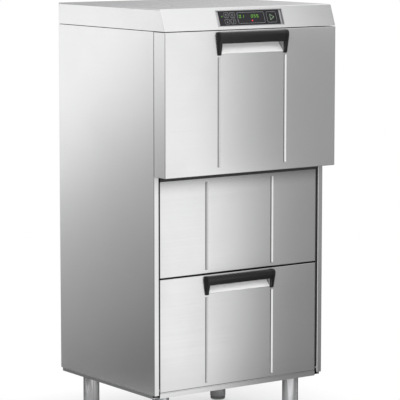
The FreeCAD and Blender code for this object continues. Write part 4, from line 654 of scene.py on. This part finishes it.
def new_piece(name, bm, finish, body):
    bmesh.ops.remove_doubles(bm, verts=bm.verts, dist=WELD)
    bmesh.ops.recalc_face_normals(bm, faces=bm.faces)
    mesh = bpy.data.meshes.new(name)
    bm.to_mesh(mesh)
    bm.free()
    mesh.shade_smooth()
    mesh.set_sharp_from_angle(angle=SHARP_ANGLE)
    mesh.materials.append(finishes[finish])
    piece = bpy.data.objects.new(name, mesh)
    scene.collection.objects.link(piece)
    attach(piece, body)
    print(f"{name}: {len(mesh.polygons)} faces on {body}")
    return piece


def loft(bm, loops, closed=False):
    """Quads from loop to loop of points; closed comes back to the first loop, open gets two ends."""
    rings = [[bm.verts.new(point) for point in loop] for loop in loops]
    for ring, after in zip(rings, rings[1:] + rings[:1] if closed else rings[1:]):
        for index in range(len(ring)):
            follow = (index + 1) % len(ring)
            bm.faces.new((ring[index], ring[follow], after[follow], after[index]))
    if not closed:
        bm.faces.new(rings[0])
        bm.faces.new(rings[-1])


def plate(bm, outline, place, low, high):
    """A flat plate; place turns (across, up, out) into a point."""
    loft(bm, [[place(across, up, level) for across, up in outline] for level in (low, high)])


def band(bm, outer, inner, place, low, high):
    """A flat plate with a window: both outlines have as many points."""
    levels = ((outer, low), (outer, high), (inner, high), (inner, low))
    loops = [[place(across, up, level) for across, up in outline] for outline, level in levels]
    loft(bm, loops, closed=True)


def turn(bm, profile, place, steps=40):
    """Turn a closed (radius, height) profile about the out axis; a radius may follow the angle."""
    loops = []
    for step in range(steps):
        angle = 2 * math.pi * step / steps
        loop = []
        for radius, height in profile:
            reach = radius(angle) if callable(radius) else radius
            loop.append(place(reach * math.cos(angle), reach * math.sin(angle), height))
        loops.append(loop)
    loft(bm, loops, closed=True)


# %% [markdown]
# A piece is drawn in millimetres on a plane and then placed. The plane comes from the solid part that the
# piece sits on, so a piece is where its carrier is. Outlines are short lists of points: rounded rectangles,
# circles and pointed bars.

# %% Helpers for planes and outlines
POINT_OUT = 0.6
POINT_IN = 0.4


def plane_at(origin, across, up, out):
    """A function from millimetres across, up and out of a plane to a point in metres."""
    start, side, rise, lift = Vector(origin), Vector(across), Vector(up), Vector(out)

    def place(u, v, w):
        return start + (side * u + rise * v + lift * w) * MM
    return place


def box_of(node):
    """The lowest and the highest corner of a solid part."""
    return [Vector(corner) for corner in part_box(node)]


def furthest(node, way):
    """How far a solid part reaches along a direction."""
    return max(vertex.co.dot(way) for vertex in nodes[node].data.vertices)


def rounded_rectangle(width, height, radius, centre=(0, 0), steps=5):
    points = []
    for quarter, (right, high) in enumerate(((1, 1), (-1, 1), (-1, -1), (1, -1))):
        for step in range(steps + 1):
            angle = math.pi / 2 * (quarter + step / steps)
            points.append((centre[0] + right * (width / 2 - radius) + radius * math.cos(angle),
                           centre[1] + high * (height / 2 - radius) + radius * math.sin(angle)))
    return points


def circle(radius, centre=(0, 0), steps=24):
    return [(centre[0] + radius * math.cos(2 * math.pi * step / steps),
             centre[1] + radius * math.sin(2 * math.pi * step / steps)) for step in range(steps)]


def stroke(start, end, width):
    """A short bar with pointed ends."""
    first, last = Vector(start), Vector(end)
    along = (last - first).normalized() * width / 2
    side = Vector((-along.y, along.x))
    tip, shoulder = along * POINT_OUT, along * POINT_IN
    outline = (first - tip, first + shoulder - side, last - shoulder - side,
               last + tip, last - shoulder + side, first + shoulder + side)
    return [tuple(point) for point in outline]


print("helpers ready")

# %% [markdown]
# The control panel leans back with the fascia. The keys slide along its normal, so the frame's own joint
# axis gives the plane. Thin printed lines are raised by about a tenth of a millimetre: an outline on each
# key and a plain symbol in it. A key's print rides on the key, so that it goes in with it.

# %% Key print
PRINT_HIGH = 0.12
LINE = 0.75
LEAST_CORNER = 0.2
KEY_WIDTH = 17.0
KEY_HEIGHT = 15.0
KEY_CORNER = 3.2
RING_RADIUS = 3.2
RING_DROP = -0.4
RING_STEPS = 12
RING_RUN = (4, 14)
KEY_SYMBOLS = {
    "power": [((0, 0.2), (0, 4.2))],
    "program": [((-4, 3), (4, 3)), ((-4, 0), (1, 0)), ((-4, -3), (4, -3))],
    "temperature": [((0, -3), (0, 4)), ((2.4, 3.4), (4.2, 3.4)), ((2.4, 0.4), (4.2, 0.4)),
                    ((-1.6, -3.4), (1.6, -3.4))],
    "drain": [((0, 4), (0, -3.4)), ((-2.8, -0.6), (0, -3.6)), ((2.8, -0.6), (0, -3.6))],
}
press_axis = next(joint["axis"] for joint in frame["joints"] if joint["name"] == "key_start_press")
panel_out = -Vector(press_axis)
panel_up = Vector((0, panel_out.z, -panel_out.y))


def panel_place(node):
    """The plane on a panel part's front, about the part's middle."""
    low, high = box_of(node)
    middle = (low + high) / 2
    depth = furthest(node, panel_out) - middle.dot(panel_out)
    return plane_at(middle + panel_out * depth, RIGHT, panel_up, panel_out)


def outline_ring(bm, place, width, height, radius, centre=(0, 0)):
    inner = rounded_rectangle(width - 2 * LINE, height - 2 * LINE, max(radius - LINE, LEAST_CORNER), centre)
    band(bm, rounded_rectangle(width, height, radius, centre), inner, place, 0, PRINT_HIGH)


ring = circle(RING_RADIUS, (0, RING_DROP), RING_STEPS)
ring_strokes = [(ring[step % RING_STEPS], ring[(step + 1) % RING_STEPS]) for step in range(*RING_RUN)]
KEY_SYMBOLS["power"] = ring_strokes + KEY_SYMBOLS["power"]
for kind, strokes in KEY_SYMBOLS.items():
    key = f"key_{kind}"
    place = panel_place(key)
    bm = bmesh.new()
    outline_ring(bm, place, KEY_WIDTH, KEY_HEIGHT, KEY_CORNER)
    for start, end in strokes:
        plate(bm, stroke(start, end, LINE), place, 0, PRINT_HIGH)
    new_piece(f"{key}_print", bm, "print", key)

# %% [markdown]
# The start key is larger. Its triangle is a plate with a triangular window, pale green because a lamp stands
# behind it, and its frame is printed grey like the other outlines.

# %% Start key print
START_WIDTH = 34.0
START_HEIGHT = 32.0
START_CORNER = 3.6
START_SHIFT = 2.0
TRIANGLE_OUTER = [(-5.6, -9.0), (9.6, 0), (-5.6, 9.0)]
TRIANGLE_INNER = [(-4.5, -7.05), (7.4, 0), (-4.5, 7.05)]
place = panel_place("key_start")
bm = bmesh.new()
outline_ring(bm, place, START_WIDTH, START_HEIGHT, START_CORNER, (START_SHIFT, 0))
new_piece("key_start_frame", bm, "print", "key_start")
bm = bmesh.new()
outer, inner = ([(START_SHIFT + across, up) for across, up in triangle]
                for triangle in (TRIANGLE_OUTER, TRIANGLE_INNER))
band(bm, outer, inner, place, 0, PRINT_HIGH)
new_piece("key_start_symbol", bm, "start_light", "key_start")

# %% [markdown]
# The display sits between the keys. Its numbers are built from straight segments, leaning a little, as lamps
# of this kind do; the first group gives a plain program number and the second a plain temperature. The
# small light beside the keys and the red dot under the numbers are lamps of the same kind.

# %% Display
SEGMENT_ENDS = {"a": ((0, 1), (1, 1)), "b": ((1, 1), (1, 0.5)), "c": ((1, 0.5), (1, 0)),
                "d": ((0, 0), (1, 0)), "e": ((0, 0.5), (0, 0)), "f": ((0, 1), (0, 0.5)),
                "g": ((0, 0.5), (1, 0.5))}
DIGIT_SEGMENTS = {"0": "abcdef", "1": "bc", "5": "acdfg"}
DIGIT_WIDTH = 5.2
DIGIT_HEIGHT = 7.8
DIGIT_PITCH = 9.6
DIGIT_LEAN = 0.12
SEGMENT_WIDTH = 1.15
DISPLAY_WIDTH = 94.0
DISPLAY_HEIGHT = 33.0
DISPLAY_CORNER = 4.0
DISPLAY_SHIFT = 3.5
NUMBER_BASE = 0.5
PROGRAM_LEFT = -37.5
WARMTH_LEFT = 4.5
POWER_LIGHT = (-97.0, 6.0)
POWER_LIGHT_RADIUS = 1.5
WORK_LIGHT = (6.0, -8.6)
WORK_LIGHT_RADIUS = 2.3


def write_number(bm, place, text, left):
    for position, digit in enumerate(text):
        for segment in DIGIT_SEGMENTS[digit]:
            ends = []
            for across, up in SEGMENT_ENDS[segment]:
                rise = up * DIGIT_HEIGHT
                shift = across * DIGIT_WIDTH + rise * DIGIT_LEAN
                ends.append((left + position * DIGIT_PITCH + shift, NUMBER_BASE + rise))
            plate(bm, stroke(*ends, SEGMENT_WIDTH), place, 0, PRINT_HIGH)


glass = panel_place("control_glass")
bm = bmesh.new()
outline_ring(bm, glass, DISPLAY_WIDTH, DISPLAY_HEIGHT, DISPLAY_CORNER, (DISPLAY_SHIFT, 0))
new_piece("display_frame", bm, "print", "cabinet")
bm = bmesh.new()
write_number(bm, glass, "01", PROGRAM_LEFT)
write_number(bm, glass, "055", WARMTH_LEFT)
plate(bm, circle(POWER_LIGHT_RADIUS, POWER_LIGHT), glass, 0, PRINT_HIGH)
new_piece("display_numbers", bm, "green_light", "cabinet")
bm = bmesh.new()
plate(bm, circle(WORK_LIGHT_RADIUS, WORK_LIGHT), glass, 0, PRINT_HIGH)
new_piece("display_dot", bm, "red_light", "cabinet")

# %% [markdown]
# The wash door closes on a rubber seal. Its section is a bulb on a flat foot, run round the opening like a
# picture frame with round corners: each point of the section gives one rounded rectangle. It takes the place
# of the plain ring in the frame.

# %% Door seal
GASKET_BAND = 8.0
GASKET_CORNER = 22.0
GASKET_FOOT = 1.2
NECK_INSET = 1.4
NECK_HIGH = 1.6
BULB_RADIUS = 2.4
BULB_STEPS = 8
CORNER_STEPS = 8
gasket_low, gasket_high = box_of("door_gasket")
gasket_wide, gasket_deep, gasket_tall = (gasket_high - gasket_low) / MM
gasket_middle = (gasket_low + gasket_high) / 2
gasket_place = plane_at((gasket_middle.x, gasket_high.y, gasket_middle.z), RIGHT, UP, FRONT)
seal_profile = [(0, 0), (0, GASKET_FOOT), (NECK_INSET, NECK_HIGH)]
for step in range(BULB_STEPS + 1):
    angle = math.pi * (1 - step / BULB_STEPS)
    seal_profile.append((GASKET_BAND / 2 + BULB_RADIUS * math.cos(angle),
                         BULB_RADIUS + (gasket_deep - BULB_RADIUS) * math.sin(angle)))
seal_profile += [(GASKET_BAND - NECK_INSET, NECK_HIGH), (GASKET_BAND, GASKET_FOOT), (GASKET_BAND, 0)]
loops = []
for inward, out in seal_profile:
    frame_line = rounded_rectangle(gasket_wide - 2 * inward, gasket_tall - 2 * inward,
                                   GASKET_CORNER - inward, steps=CORNER_STEPS)
    loops.append([gasket_place(across, up, out) for across, up in frame_line])
bm = bmesh.new()
loft(bm, loops, closed=True)
gasket = new_piece("door_seal", bm, "rubber", "cabinet")
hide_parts("door_gasket")

# %% [markdown]
# Between the lower fronts and the returns of the side panels runs a narrow gap. A dark rubber strip is
# put on each return as painted shade, so that the gap looks black. Each strip is a flat section with one
# rounded edge, pulled up along the return.

# %% Dark strips for the shade in the side gaps
RETURN_EDGE = 283.0
GAP_SHADE_LOW = 159.0
GAP_SHADE_SHORT = 2.0
GAP_SHADE_BACK = 1.5
GAP_SHADE_DEEP = 2.4
GAP_SHADE_CLEAR = 0.3
GAP_SHADE_ROUND = 1.6
GAP_SHADE_STEPS = 6
panel_low, panel_high = box_of("middle_panel")
gap_shade_width = RETURN_EDGE - panel_high.x / MM - GAP_SHADE_CLEAR
section = [(0, -GAP_SHADE_DEEP), (0, 0)]
for step in range(GAP_SHADE_STEPS + 1):
    angle = math.pi / 2 * (1 - step / GAP_SHADE_STEPS)
    section.append((gap_shade_width - GAP_SHADE_ROUND + GAP_SHADE_ROUND * math.cos(angle),
                    GAP_SHADE_DEEP / 2 * (math.sin(angle) - 1)))
section.append((gap_shade_width, -GAP_SHADE_DEEP))
# painted shade: dark strips placed in the side gaps, where there is only shade
for name, side in (("left", -1), ("right", 1)):
    origin = (side * RETURN_EDGE * MM, panel_low.y + GAP_SHADE_BACK * MM, 0)
    bm = bmesh.new()
    plate(bm, section, plane_at(origin, (-side, 0, 0), FRONT, UP), GAP_SHADE_LOW, panel_high.z / MM - GAP_SHADE_SHORT)
    new_piece(f"side_gap_shade_{name}", bm, "rubber", "cabinet")

# %% [markdown]
# A wider dark strip of the same rubber runs along the top of the middle panel as painted shade: it stands
# for the dark gap under the door above. Its face is a shallow curve.

# %% Dark strip for the shade under the door
DOOR_SHADE_LOW = 11.0
DOOR_SHADE_HIGH = 0.5
DOOR_SHADE_PROUD = 1.6
DOOR_SHADE_SUNK = -0.1
DOOR_SHADE_SHORT = 0.5
DOOR_SHADE_STEPS = 8
DOOR_SHADE_ARC = (0.25, 0.5)
door_shade_place = plane_at((0, panel_low.y, panel_high.z), FRONT, UP, RIGHT)
section = [(DOOR_SHADE_SUNK, -DOOR_SHADE_HIGH), (DOOR_SHADE_SUNK, -DOOR_SHADE_LOW)]
for step in range(DOOR_SHADE_STEPS + 1):
    share = step / DOOR_SHADE_STEPS
    proud = DOOR_SHADE_PROUD * math.sin(math.pi * (DOOR_SHADE_ARC[0] + DOOR_SHADE_ARC[1] * share))
    section.append((proud, -DOOR_SHADE_LOW + (DOOR_SHADE_LOW - DOOR_SHADE_HIGH) * share))
# painted shade: a dark strip where the gap under the wash door shows only shade
bm = bmesh.new()
plate(bm, section, door_shade_place, panel_low.x / MM + DOOR_SHADE_SHORT, panel_high.x / MM - DOOR_SHADE_SHORT)
new_piece("door_shade_strip", bm, "rubber", "cabinet")

# %% [markdown]
# Low down, the sill ends in a folded steel lip that nearly closes the slit under the lower door; its back
# slopes down so that the door's edge clears it when it swings. A steel edging is pushed over the lower edge
# of the tray on each side, where a trolley or a foot would scrape it. Both are sections pulled along an
# edge; the edging's ends and its outer rim are rounded.

# %% Sill lip and base edging
SILL_TOP = 158.0
SILL_BACK = 0.2
SILL_SHORT = 1.0
SILL_SECTION = [(0.5, 0), (0.1, 0.4), (0.1, 2.3), (0.4, 2.6), (0.8, 2.3), (2.0, 1.1), (2.0, 0)]
sill_place = plane_at((0, panel_low.y + SILL_BACK * MM, SILL_TOP * MM), BACK, UP, RIGHT)
bm = bmesh.new()
plate(bm, SILL_SECTION, sill_place, panel_low.x / MM + SILL_SHORT, panel_high.x / MM - SILL_SHORT)
new_piece("sill_strip", bm, "steel_x", "cabinet")

EDGING_HIGH = 8.6
EDGING_PROUD = 0.9
EDGING_SHORT = 12.0
EDGING_LIFT = 0.6
EDGING_CORNER = 3.0
EDGING_RIM = 0.6
EDGING_RIM_DEEP = 0.5
EDGING_CLEAR = 0.02
tray_low, tray_high = box_of("base_tray")
edging_long = (tray_high.y - tray_low.y) / MM - EDGING_SHORT
edging_middle = (tray_high.y + tray_low.y) / 2
edging_level = tray_low.z + (EDGING_LIFT + EDGING_HIGH / 2) * MM
outer = rounded_rectangle(edging_long, EDGING_HIGH, EDGING_CORNER)
inner = rounded_rectangle(edging_long - 2 * EDGING_RIM, EDGING_HIGH - 2 * EDGING_RIM,
                          EDGING_CORNER - EDGING_RIM)
levels = ((outer, EDGING_CLEAR), (outer, EDGING_PROUD - EDGING_RIM_DEEP), (inner, EDGING_PROUD))
for name, side in (("left", -1), ("right", 1)):
    place = plane_at((side * tray_high.x, edging_middle, edging_level), BACK, UP, (side, 0, 0))
    bm = bmesh.new()
    loft(bm, [[place(across, up, out) for across, up in loop] for loop, out in levels])
    new_piece(f"base_edging_{name}", bm, "edging", "cabinet")

# %% [markdown]
# Behind each handle the door has a recess for the fingers. A pale moulded tray lines it: a sheet that leaves
# the door's face, slopes in and turns up at the back. Its section is drawn once as a bent line, given a
# thickness and pulled across the recess.

# %% Finger trays
TRAY_HALF = 109.0
TRAY_GAUGE = 0.8
TRAY_BEND = 7.0
TRAY_FRONT = 0.2
TRAY_LIFT = 0.6
BEND_STEPS = 6
RECESS_DEPTH = 25.6
RECESS_SLOPE = 28.0
RECESS_HEAD = 11.0
RECESS_TAILS = {"door": 66.0, "lower_door": 55.0}


def bent_line(start, corner, end, bend):
    """Two straight runs with a rounded corner between them."""
    first = corner + (start - corner).normalized() * bend
    last = corner + (end - corner).normalized() * bend
    arc = []
    for step in range(BEND_STEPS + 1):
        share = step / BEND_STEPS
        arc.append(first.lerp(corner, share).lerp(corner.lerp(last, share), share))
    return [start] + arc + [end]


def thickened(line, gauge):
    """The closed outline of a sheet that lies to the left of a line."""
    shifted = []
    for index, point in enumerate(line):
        way = (line[min(index + 1, len(line) - 1)] - line[max(index - 1, 0)]).normalized()
        shifted.append(point + Vector((-way.y, way.x)) * gauge)
    return [tuple(point) for point in line + shifted[::-1]]


for body, tail in RECESS_TAILS.items():
    skin_low, skin_high = box_of(f"{body}_skin")
    place = plane_at((0, skin_low.y, skin_high.z), BACK, UP, RIGHT)
    start = Vector((TRAY_FRONT, TRAY_LIFT - tail))
    corner = Vector((RECESS_DEPTH, TRAY_LIFT - tail + RECESS_SLOPE))
    line = bent_line(start, corner, Vector((RECESS_DEPTH, -RECESS_HEAD)), TRAY_BEND)
    bm = bmesh.new()
    plate(bm, thickened(line, TRAY_GAUGE), place, -TRAY_HALF, TRAY_HALF)
    new_piece(f"{body}_finger_tray", bm, "tray", body)

# %% [markdown]
# The back is built to be serviced: the rear panel is held by socket-head screws through the side returns,
# the cover by a row of its own, and the recessed plate by four. A screw is one turned profile whose socket
# is a hexagon, because the radius of a turned ring may follow the angle.

# %% Screws
SOCKET_RADIUS = 1.6
SCREW_STEPS = 24


def hexagon(radius):
    def reach(angle):
        return radius * math.cos(math.pi / 6) / math.cos((angle % (math.pi / 3)) - math.pi / 6)
    return reach


SCREW_PROFILE = [(0, 0), (4.0, 0), (4.0, 0.7), (3.5, 1.6), (2.5, 2.1),
                 (hexagon(SOCKET_RADIUS), 2.1), (hexagon(SOCKET_RADIUS), 0.9), (0, 0.9)]


def screws(name, spots):
    """Screw heads at points of faces that look to the back."""
    bm = bmesh.new()
    for spot in spots:
        turn(bm, SCREW_PROFILE, plane_at(spot, RIGHT, UP, BACK), SCREW_STEPS)
    new_piece(name, bm, "polished", "cabinet")


RETURN_MIDDLE = 0.292
PANEL_SCREW_LOW = 0.37
PANEL_SCREW_PITCH = 0.197
PANEL_SCREW_ROWS = 5
COVER_SCREWS = (-0.25, -0.083, 0.083, 0.25)
PLATE_SCREW_HALF = 0.283
PLATE_SCREW_LEVELS = (0.2, 0.312)
NICHE_DEEP = 0.05
side_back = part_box("side_panel_right")[1][1]
panel_levels = [PANEL_SCREW_LOW + PANEL_SCREW_PITCH * row for row in range(PANEL_SCREW_ROWS)]
screws("rear_panel_screws",
       [(side * RETURN_MIDDLE, side_back, level) for side in (-1, 1) for level in panel_levels])
cover_low, cover_high = box_of("top_cover")
cover_level = (cover_low.z + cover_high.z) / 2
screws("cover_screws", [(x, cover_high.y, cover_level) for x in COVER_SCREWS])
niche_face = cad_box[1][1] - NICHE_DEEP
screws("connection_plate_screws",
       [(side * PLATE_SCREW_HALF, niche_face, level) for side in (-1, 1) for level in PLATE_SCREW_LEVELS])

# %% [markdown]
# Warm air leaves through two groups of slots. Each slot is a louvre: the sheet above it is pressed out into
# a hood that opens downwards, so drips stay outside. The hood is a curved grid of points that is then
# thickened.

# %% Rear louvres
VENT_OFFSET = 130.0
VENT_LENGTH = 90.0
VENT_SLOT = 6.0
VENT_LOW = 560.0
VENT_PITCH = 16.0
VENT_ROWS = 6
HOOD_OVER = 2.0
HOOD_SIDE = 3.0
HOOD_CLEAR = 0.25
HOOD_RISE = 4.2
HOOD_REACH = 10.0
HOOD_GAUGE = 0.9
HOOD_SQUARE = 6
HOOD_COLUMNS = 24
HOOD_DROPS = 8


def hood_column(place, column):
    """One curved line of a hood, from the sheet above the slot down to its open edge."""
    share = column / HOOD_COLUMNS * 2 - 1
    swell = (1 - abs(share) ** HOOD_SQUARE) ** 0.5
    points = []
    for drop in range(HOOD_DROPS + 1):
        out = HOOD_CLEAR + HOOD_RISE * swell * math.sin(math.pi / 2 * drop / HOOD_DROPS)
        points.append(place(share * (VENT_LENGTH / 2 + HOOD_SIDE), -HOOD_REACH * drop / HOOD_DROPS, out))
    return points


rear_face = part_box("rear_panel")[1][1]
bm = bmesh.new()
for side in (-1, 1):
    for row in range(VENT_ROWS):
        top = VENT_LOW + VENT_PITCH * row + VENT_SLOT + HOOD_OVER
        place = plane_at((side * VENT_OFFSET * MM, rear_face, top * MM), RIGHT, UP, BACK)
        grid = [[bm.verts.new(point) for point in hood_column(place, column)]
                for column in range(HOOD_COLUMNS + 1)]
        sheet = []
        for line, after in zip(grid, grid[1:]):
            for drop in range(HOOD_DROPS):
                sheet.append(bm.faces.new((line[drop], after[drop], after[drop + 1], line[drop + 1])))
        bmesh.ops.solidify(bm, geom=sheet, thickness=HOOD_GAUGE * MM)
new_piece("rear_louvres", bm, "steel_x", "cabinet")

# %% [markdown]
# The connections in the rear niche get what a fitter looks for. The water inlet has a real thread: a small
# triangular section carried round a helix, fading out at both ends. The drain spigot has barbs that hold a
# hose, each a turned ring with a steep and a gentle side.

# %% Inlet thread and spigot barbs
THREAD_RADIUS = 13.2
THREAD_SUNK = 0.4
THREAD_HIGH = 0.8
THREAD_HALF = 0.8
THREAD_PITCH = 1.8
THREAD_TURNS = 11
THREAD_STEPS = 36
THREAD_FADE = 12
BARB_COUNT = 4
BARB_START = -8.0
BARB_PITCH = 6.0
BARB_PROFILE = [(13.6, 0), (15.4, 0), (15.4, 0.8), (14.05, 4.6), (13.6, 4.6)]
mounts = {mount["name"]: Vector(mount["pos_m"]) for mount in frame["record"]["mounts"]}
inlet_place = plane_at(mounts["water_inlet"], RIGHT, UP, BACK)
thread_length = THREAD_TURNS * THREAD_STEPS
loops = []
for step in range(thread_length + 1):
    angle = 2 * math.pi * step / THREAD_STEPS
    fade = min(1.0, step / THREAD_FADE, (thread_length - step) / THREAD_FADE)
    out = THREAD_PITCH * (step / THREAD_STEPS - THREAD_TURNS / 2)
    triangle = ((THREAD_RADIUS - THREAD_SUNK, -THREAD_HALF), (THREAD_RADIUS + THREAD_HIGH * fade, 0),
                (THREAD_RADIUS - THREAD_SUNK, THREAD_HALF))
    loops.append([inlet_place(radius * math.cos(angle), radius * math.sin(angle), out + shift)
                  for radius, shift in triangle])
bm = bmesh.new()
loft(bm, loops)
new_piece("inlet_thread", bm, "brass", "cabinet")

spigot_place = plane_at(mounts["drain_outlet"], RIGHT, UP, BACK)
bm = bmesh.new()
for barb in range(BARB_COUNT):
    start = BARB_START + barb * BARB_PITCH
    turn(bm, [(radius, start + out) for radius, out in BARB_PROFILE], spigot_place)
new_piece("spigot_barbs", bm, "pump", "cabinet")

# %% [markdown]
# The cable gland has a hexagon nut, a fluted dome that is gripped by hand and a rubber insert for the cable.
# Nut and dome are turned with a radius that follows the angle, so no cutting is needed.

# %% Cable gland
GLAND_BORE = 11.5
GLAND_NUT = hexagon(18.0)
NUT_STEPS = 48
FLUTED_STEPS = 96
INSERT_STEPS = 40


def fluted(radius, depth, count):
    def reach(angle):
        return radius - depth * max(0.0, math.cos(count * angle)) ** 2
    return reach


GLAND_DOME = fluted(14.2, 0.7, 16)
gland = mounts["cable_entry"]
gland_place = plane_at((gland.x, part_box("cable_gland")[1][1], gland.z), RIGHT, UP, BACK)
bm = bmesh.new()
turn(bm, [(GLAND_BORE, -24), (GLAND_NUT, -24), (GLAND_NUT, -18.6), (GLAND_BORE, -18.6)],
     gland_place, NUT_STEPS)
turn(bm, [(GLAND_BORE, -17.5), (GLAND_DOME, -17.5), (GLAND_DOME, -6), (13.4, -2.4), (11.2, 0.6), (8.6, 1.2),
          (8.6, -3), (GLAND_BORE, -3)], gland_place, FLUTED_STEPS)
new_piece("gland_dome", bm, "pump", "cabinet")
bm = bmesh.new()
turn(bm, [(6.05, -8), (8.5, -8), (8.5, 0.4), (7.6, 0.9), (6.4, 0.5), (6.05, -0.4)],
     gland_place, INSERT_STEPS)
new_piece("gland_insert", bm, "rubber", "cabinet")

# %% [markdown]
# With the doors open the inside is seen. The blades of the wash arms carry pressed nozzles: a small turned
# ring with a rolled lip sits round each jet, on the upper side of the lower arm and on the underside of the
# upper one.

# %% Spray nozzles
NOZZLE_REACHES = (48.0, 80.0, 112.0, 144.0)
NOZZLE_PROFILE = [(2.4, -0.4), (4.6, -0.4), (4.6, 0.3), (4.2, 0.8), (3.4, 0.9), (2.8, 0.5), (2.4, 0.2)]
NOZZLE_STEPS = 28
LOWER_BLADE_TOP = 0.772
UPPER_BLADE_UNDERSIDE = 1.134
arm_low, arm_high = box_of("lower_wash_arm")
arm_middle = (arm_low.y + arm_high.y) / 2
blades = (("lower_wash_arm", LOWER_BLADE_TOP, 1), ("upper_wash_arm", UPPER_BLADE_UNDERSIDE, -1))
for arm, level, lift in blades:
    bm = bmesh.new()
    for reach in NOZZLE_REACHES:
        for side in (-1, 1):
            place = plane_at((side * reach * MM, arm_middle, level), RIGHT, BACK, (0, 0, lift))
            turn(bm, NOZZLE_PROFILE, place, NOZZLE_STEPS)
    new_piece(f"{arm}_nozzles", bm, "polished", arm)

# %% [markdown]
# In the lower compartment stands the boiler in its pale jacket. Two steel straps hold the jacket, each
# closed by a clasp with a screw. A strap is a thin turned band with slightly raised edges, so that it reads
# as a pressed ribbon.

# %% Boiler straps
STRAP_HALF = 7.0
STRAP_HEIGHTS = (120.0, 245.0)
STRAP_CLEAR = 0.1
STRAP_THICK = 0.8
STRAP_EDGE = 1.3
STRAP_RIM = 1.5
STRAP_DISH = 2.2
STRAP_STEPS = 96
CLASP_OUT = 1.2
CLASP_THICK = 1.6
clasp_outer = rounded_rectangle(26, 20, 3)
clasp_inner = rounded_rectangle(19, 13, 2)
boiler_low, boiler_high = box_of("boiler")
boiler_radius = (boiler_high.y - boiler_low.y) / 2 / MM
boiler_x = boiler_low.x + boiler_radius * MM
boiler_y = (boiler_low.y + boiler_high.y) / 2
boiler_place = plane_at((boiler_x, boiler_y, boiler_low.z), RIGHT, BACK, UP)
inside = boiler_radius + STRAP_CLEAR
half_strap = [(inside, -STRAP_HALF), (inside + STRAP_EDGE, -STRAP_HALF),
              (inside + STRAP_EDGE, -STRAP_HALF + STRAP_RIM),
              (inside + STRAP_THICK, -STRAP_HALF + STRAP_DISH)]
strap_profile = half_strap + [(radius, -level) for radius, level in reversed(half_strap)]
bm = bmesh.new()
for height in STRAP_HEIGHTS:
    turn(bm, [(radius, height + level) for radius, level in strap_profile], boiler_place, STRAP_STEPS)
    clasp = plane_at((boiler_x, boiler_low.y - CLASP_OUT * MM, boiler_low.z + height * MM), RIGHT, UP, FRONT)
    band(bm, clasp_outer, clasp_inner, clasp, 0, CLASP_THICK)
    turn(bm, SCREW_PROFILE, clasp, SCREW_STEPS)
new_piece("boiler_straps", bm, "polished", "cabinet")

# %% [markdown]
# A copper pipe brings water from the inlet valve to the boiler. Each end is held by a brass union nut: a
# hexagon with a turned shoulder, drawn as one profile in the same way as the screws.

# %% Feed pipe nuts
FEED_RADIUS = 7.0
UNION_NUT = hexagon(13.0)
NUT_PROFILE = [(FEED_RADIUS, 0), (UNION_NUT, 0), (UNION_NUT, 9), (10.0, 10), (9.4, 13), (FEED_RADIUS, 13)]
feed_low, feed_high = box_of("feed_pipe")
feed_level = (feed_low.z + feed_high.z) / 2
feed_ends = (((feed_high.x, feed_high.y - FEED_RADIUS * MM, feed_level), LEFT),
             ((feed_low.x, feed_low.y + FEED_RADIUS * MM, feed_level), RIGHT))
bm = bmesh.new()
for end, way in feed_ends:
    turn(bm, NUT_PROFILE, plane_at(end, BACK, UP, way), NUT_STEPS)
new_piece("feed_nuts", bm, "brass", "cabinet")

# %% [markdown]
# The two dosing pumps squeeze a hose with rollers. Their round heads get a three-armed rotor with a roller
# at the end of each arm and a knurled knob in the middle.

# %% Dosing rotors
HEAD_INSET = 0.031
ROTOR_ARM = 14.0
ROTOR_HUB = 7.0
ROTOR_LOBE = 10.5
ROTOR_WAIST = 0.3
ROTOR_THICK = 2.2
ROTOR_STEPS = 72
KNOB = fluted(6.0, 0.5, 12)
KNOB_PROFILE = [(0, ROTOR_THICK), (KNOB, ROTOR_THICK), (KNOB, 6.0), (5.0, 7.0), (0, 7.2)]
ROLLER_PROFILE = [(0, 0), (5.2, 0), (5.2, 2.6), (4.4, 3.4), (2.2, 3.4), (2.0, 4.2), (0, 4.2)]
ROLLER_STEPS = 32
dosing_low, dosing_high = box_of("dosing_pumps")
dosing_level = (dosing_low.z + dosing_high.z) / 2


def three_armed(angle):
    lobe = max(0.0, math.cos(1.5 * angle) ** 2 - ROTOR_WAIST) / (1 - ROTOR_WAIST)
    return ROTOR_HUB + ROTOR_LOBE * lobe


rotor_profile = [(0, 0), (three_armed, 0), (three_armed, ROTOR_THICK), (0, ROTOR_THICK)]
bm = bmesh.new()
for middle_y in (dosing_low.y + HEAD_INSET, dosing_high.y - HEAD_INSET):
    face = plane_at((dosing_low.x, middle_y, dosing_level), BACK, UP, LEFT)
    turn(bm, rotor_profile, face, ROTOR_STEPS)
    turn(bm, KNOB_PROFILE, face, ROTOR_STEPS)
    for across, up in circle(ROTOR_ARM, steps=3):
        turn(bm, ROLLER_PROFILE, plane_at(face(across, up, ROTOR_THICK), BACK, UP, LEFT), ROLLER_STEPS)
new_piece("dosing_rotors", bm, "jacket", "cabinet")
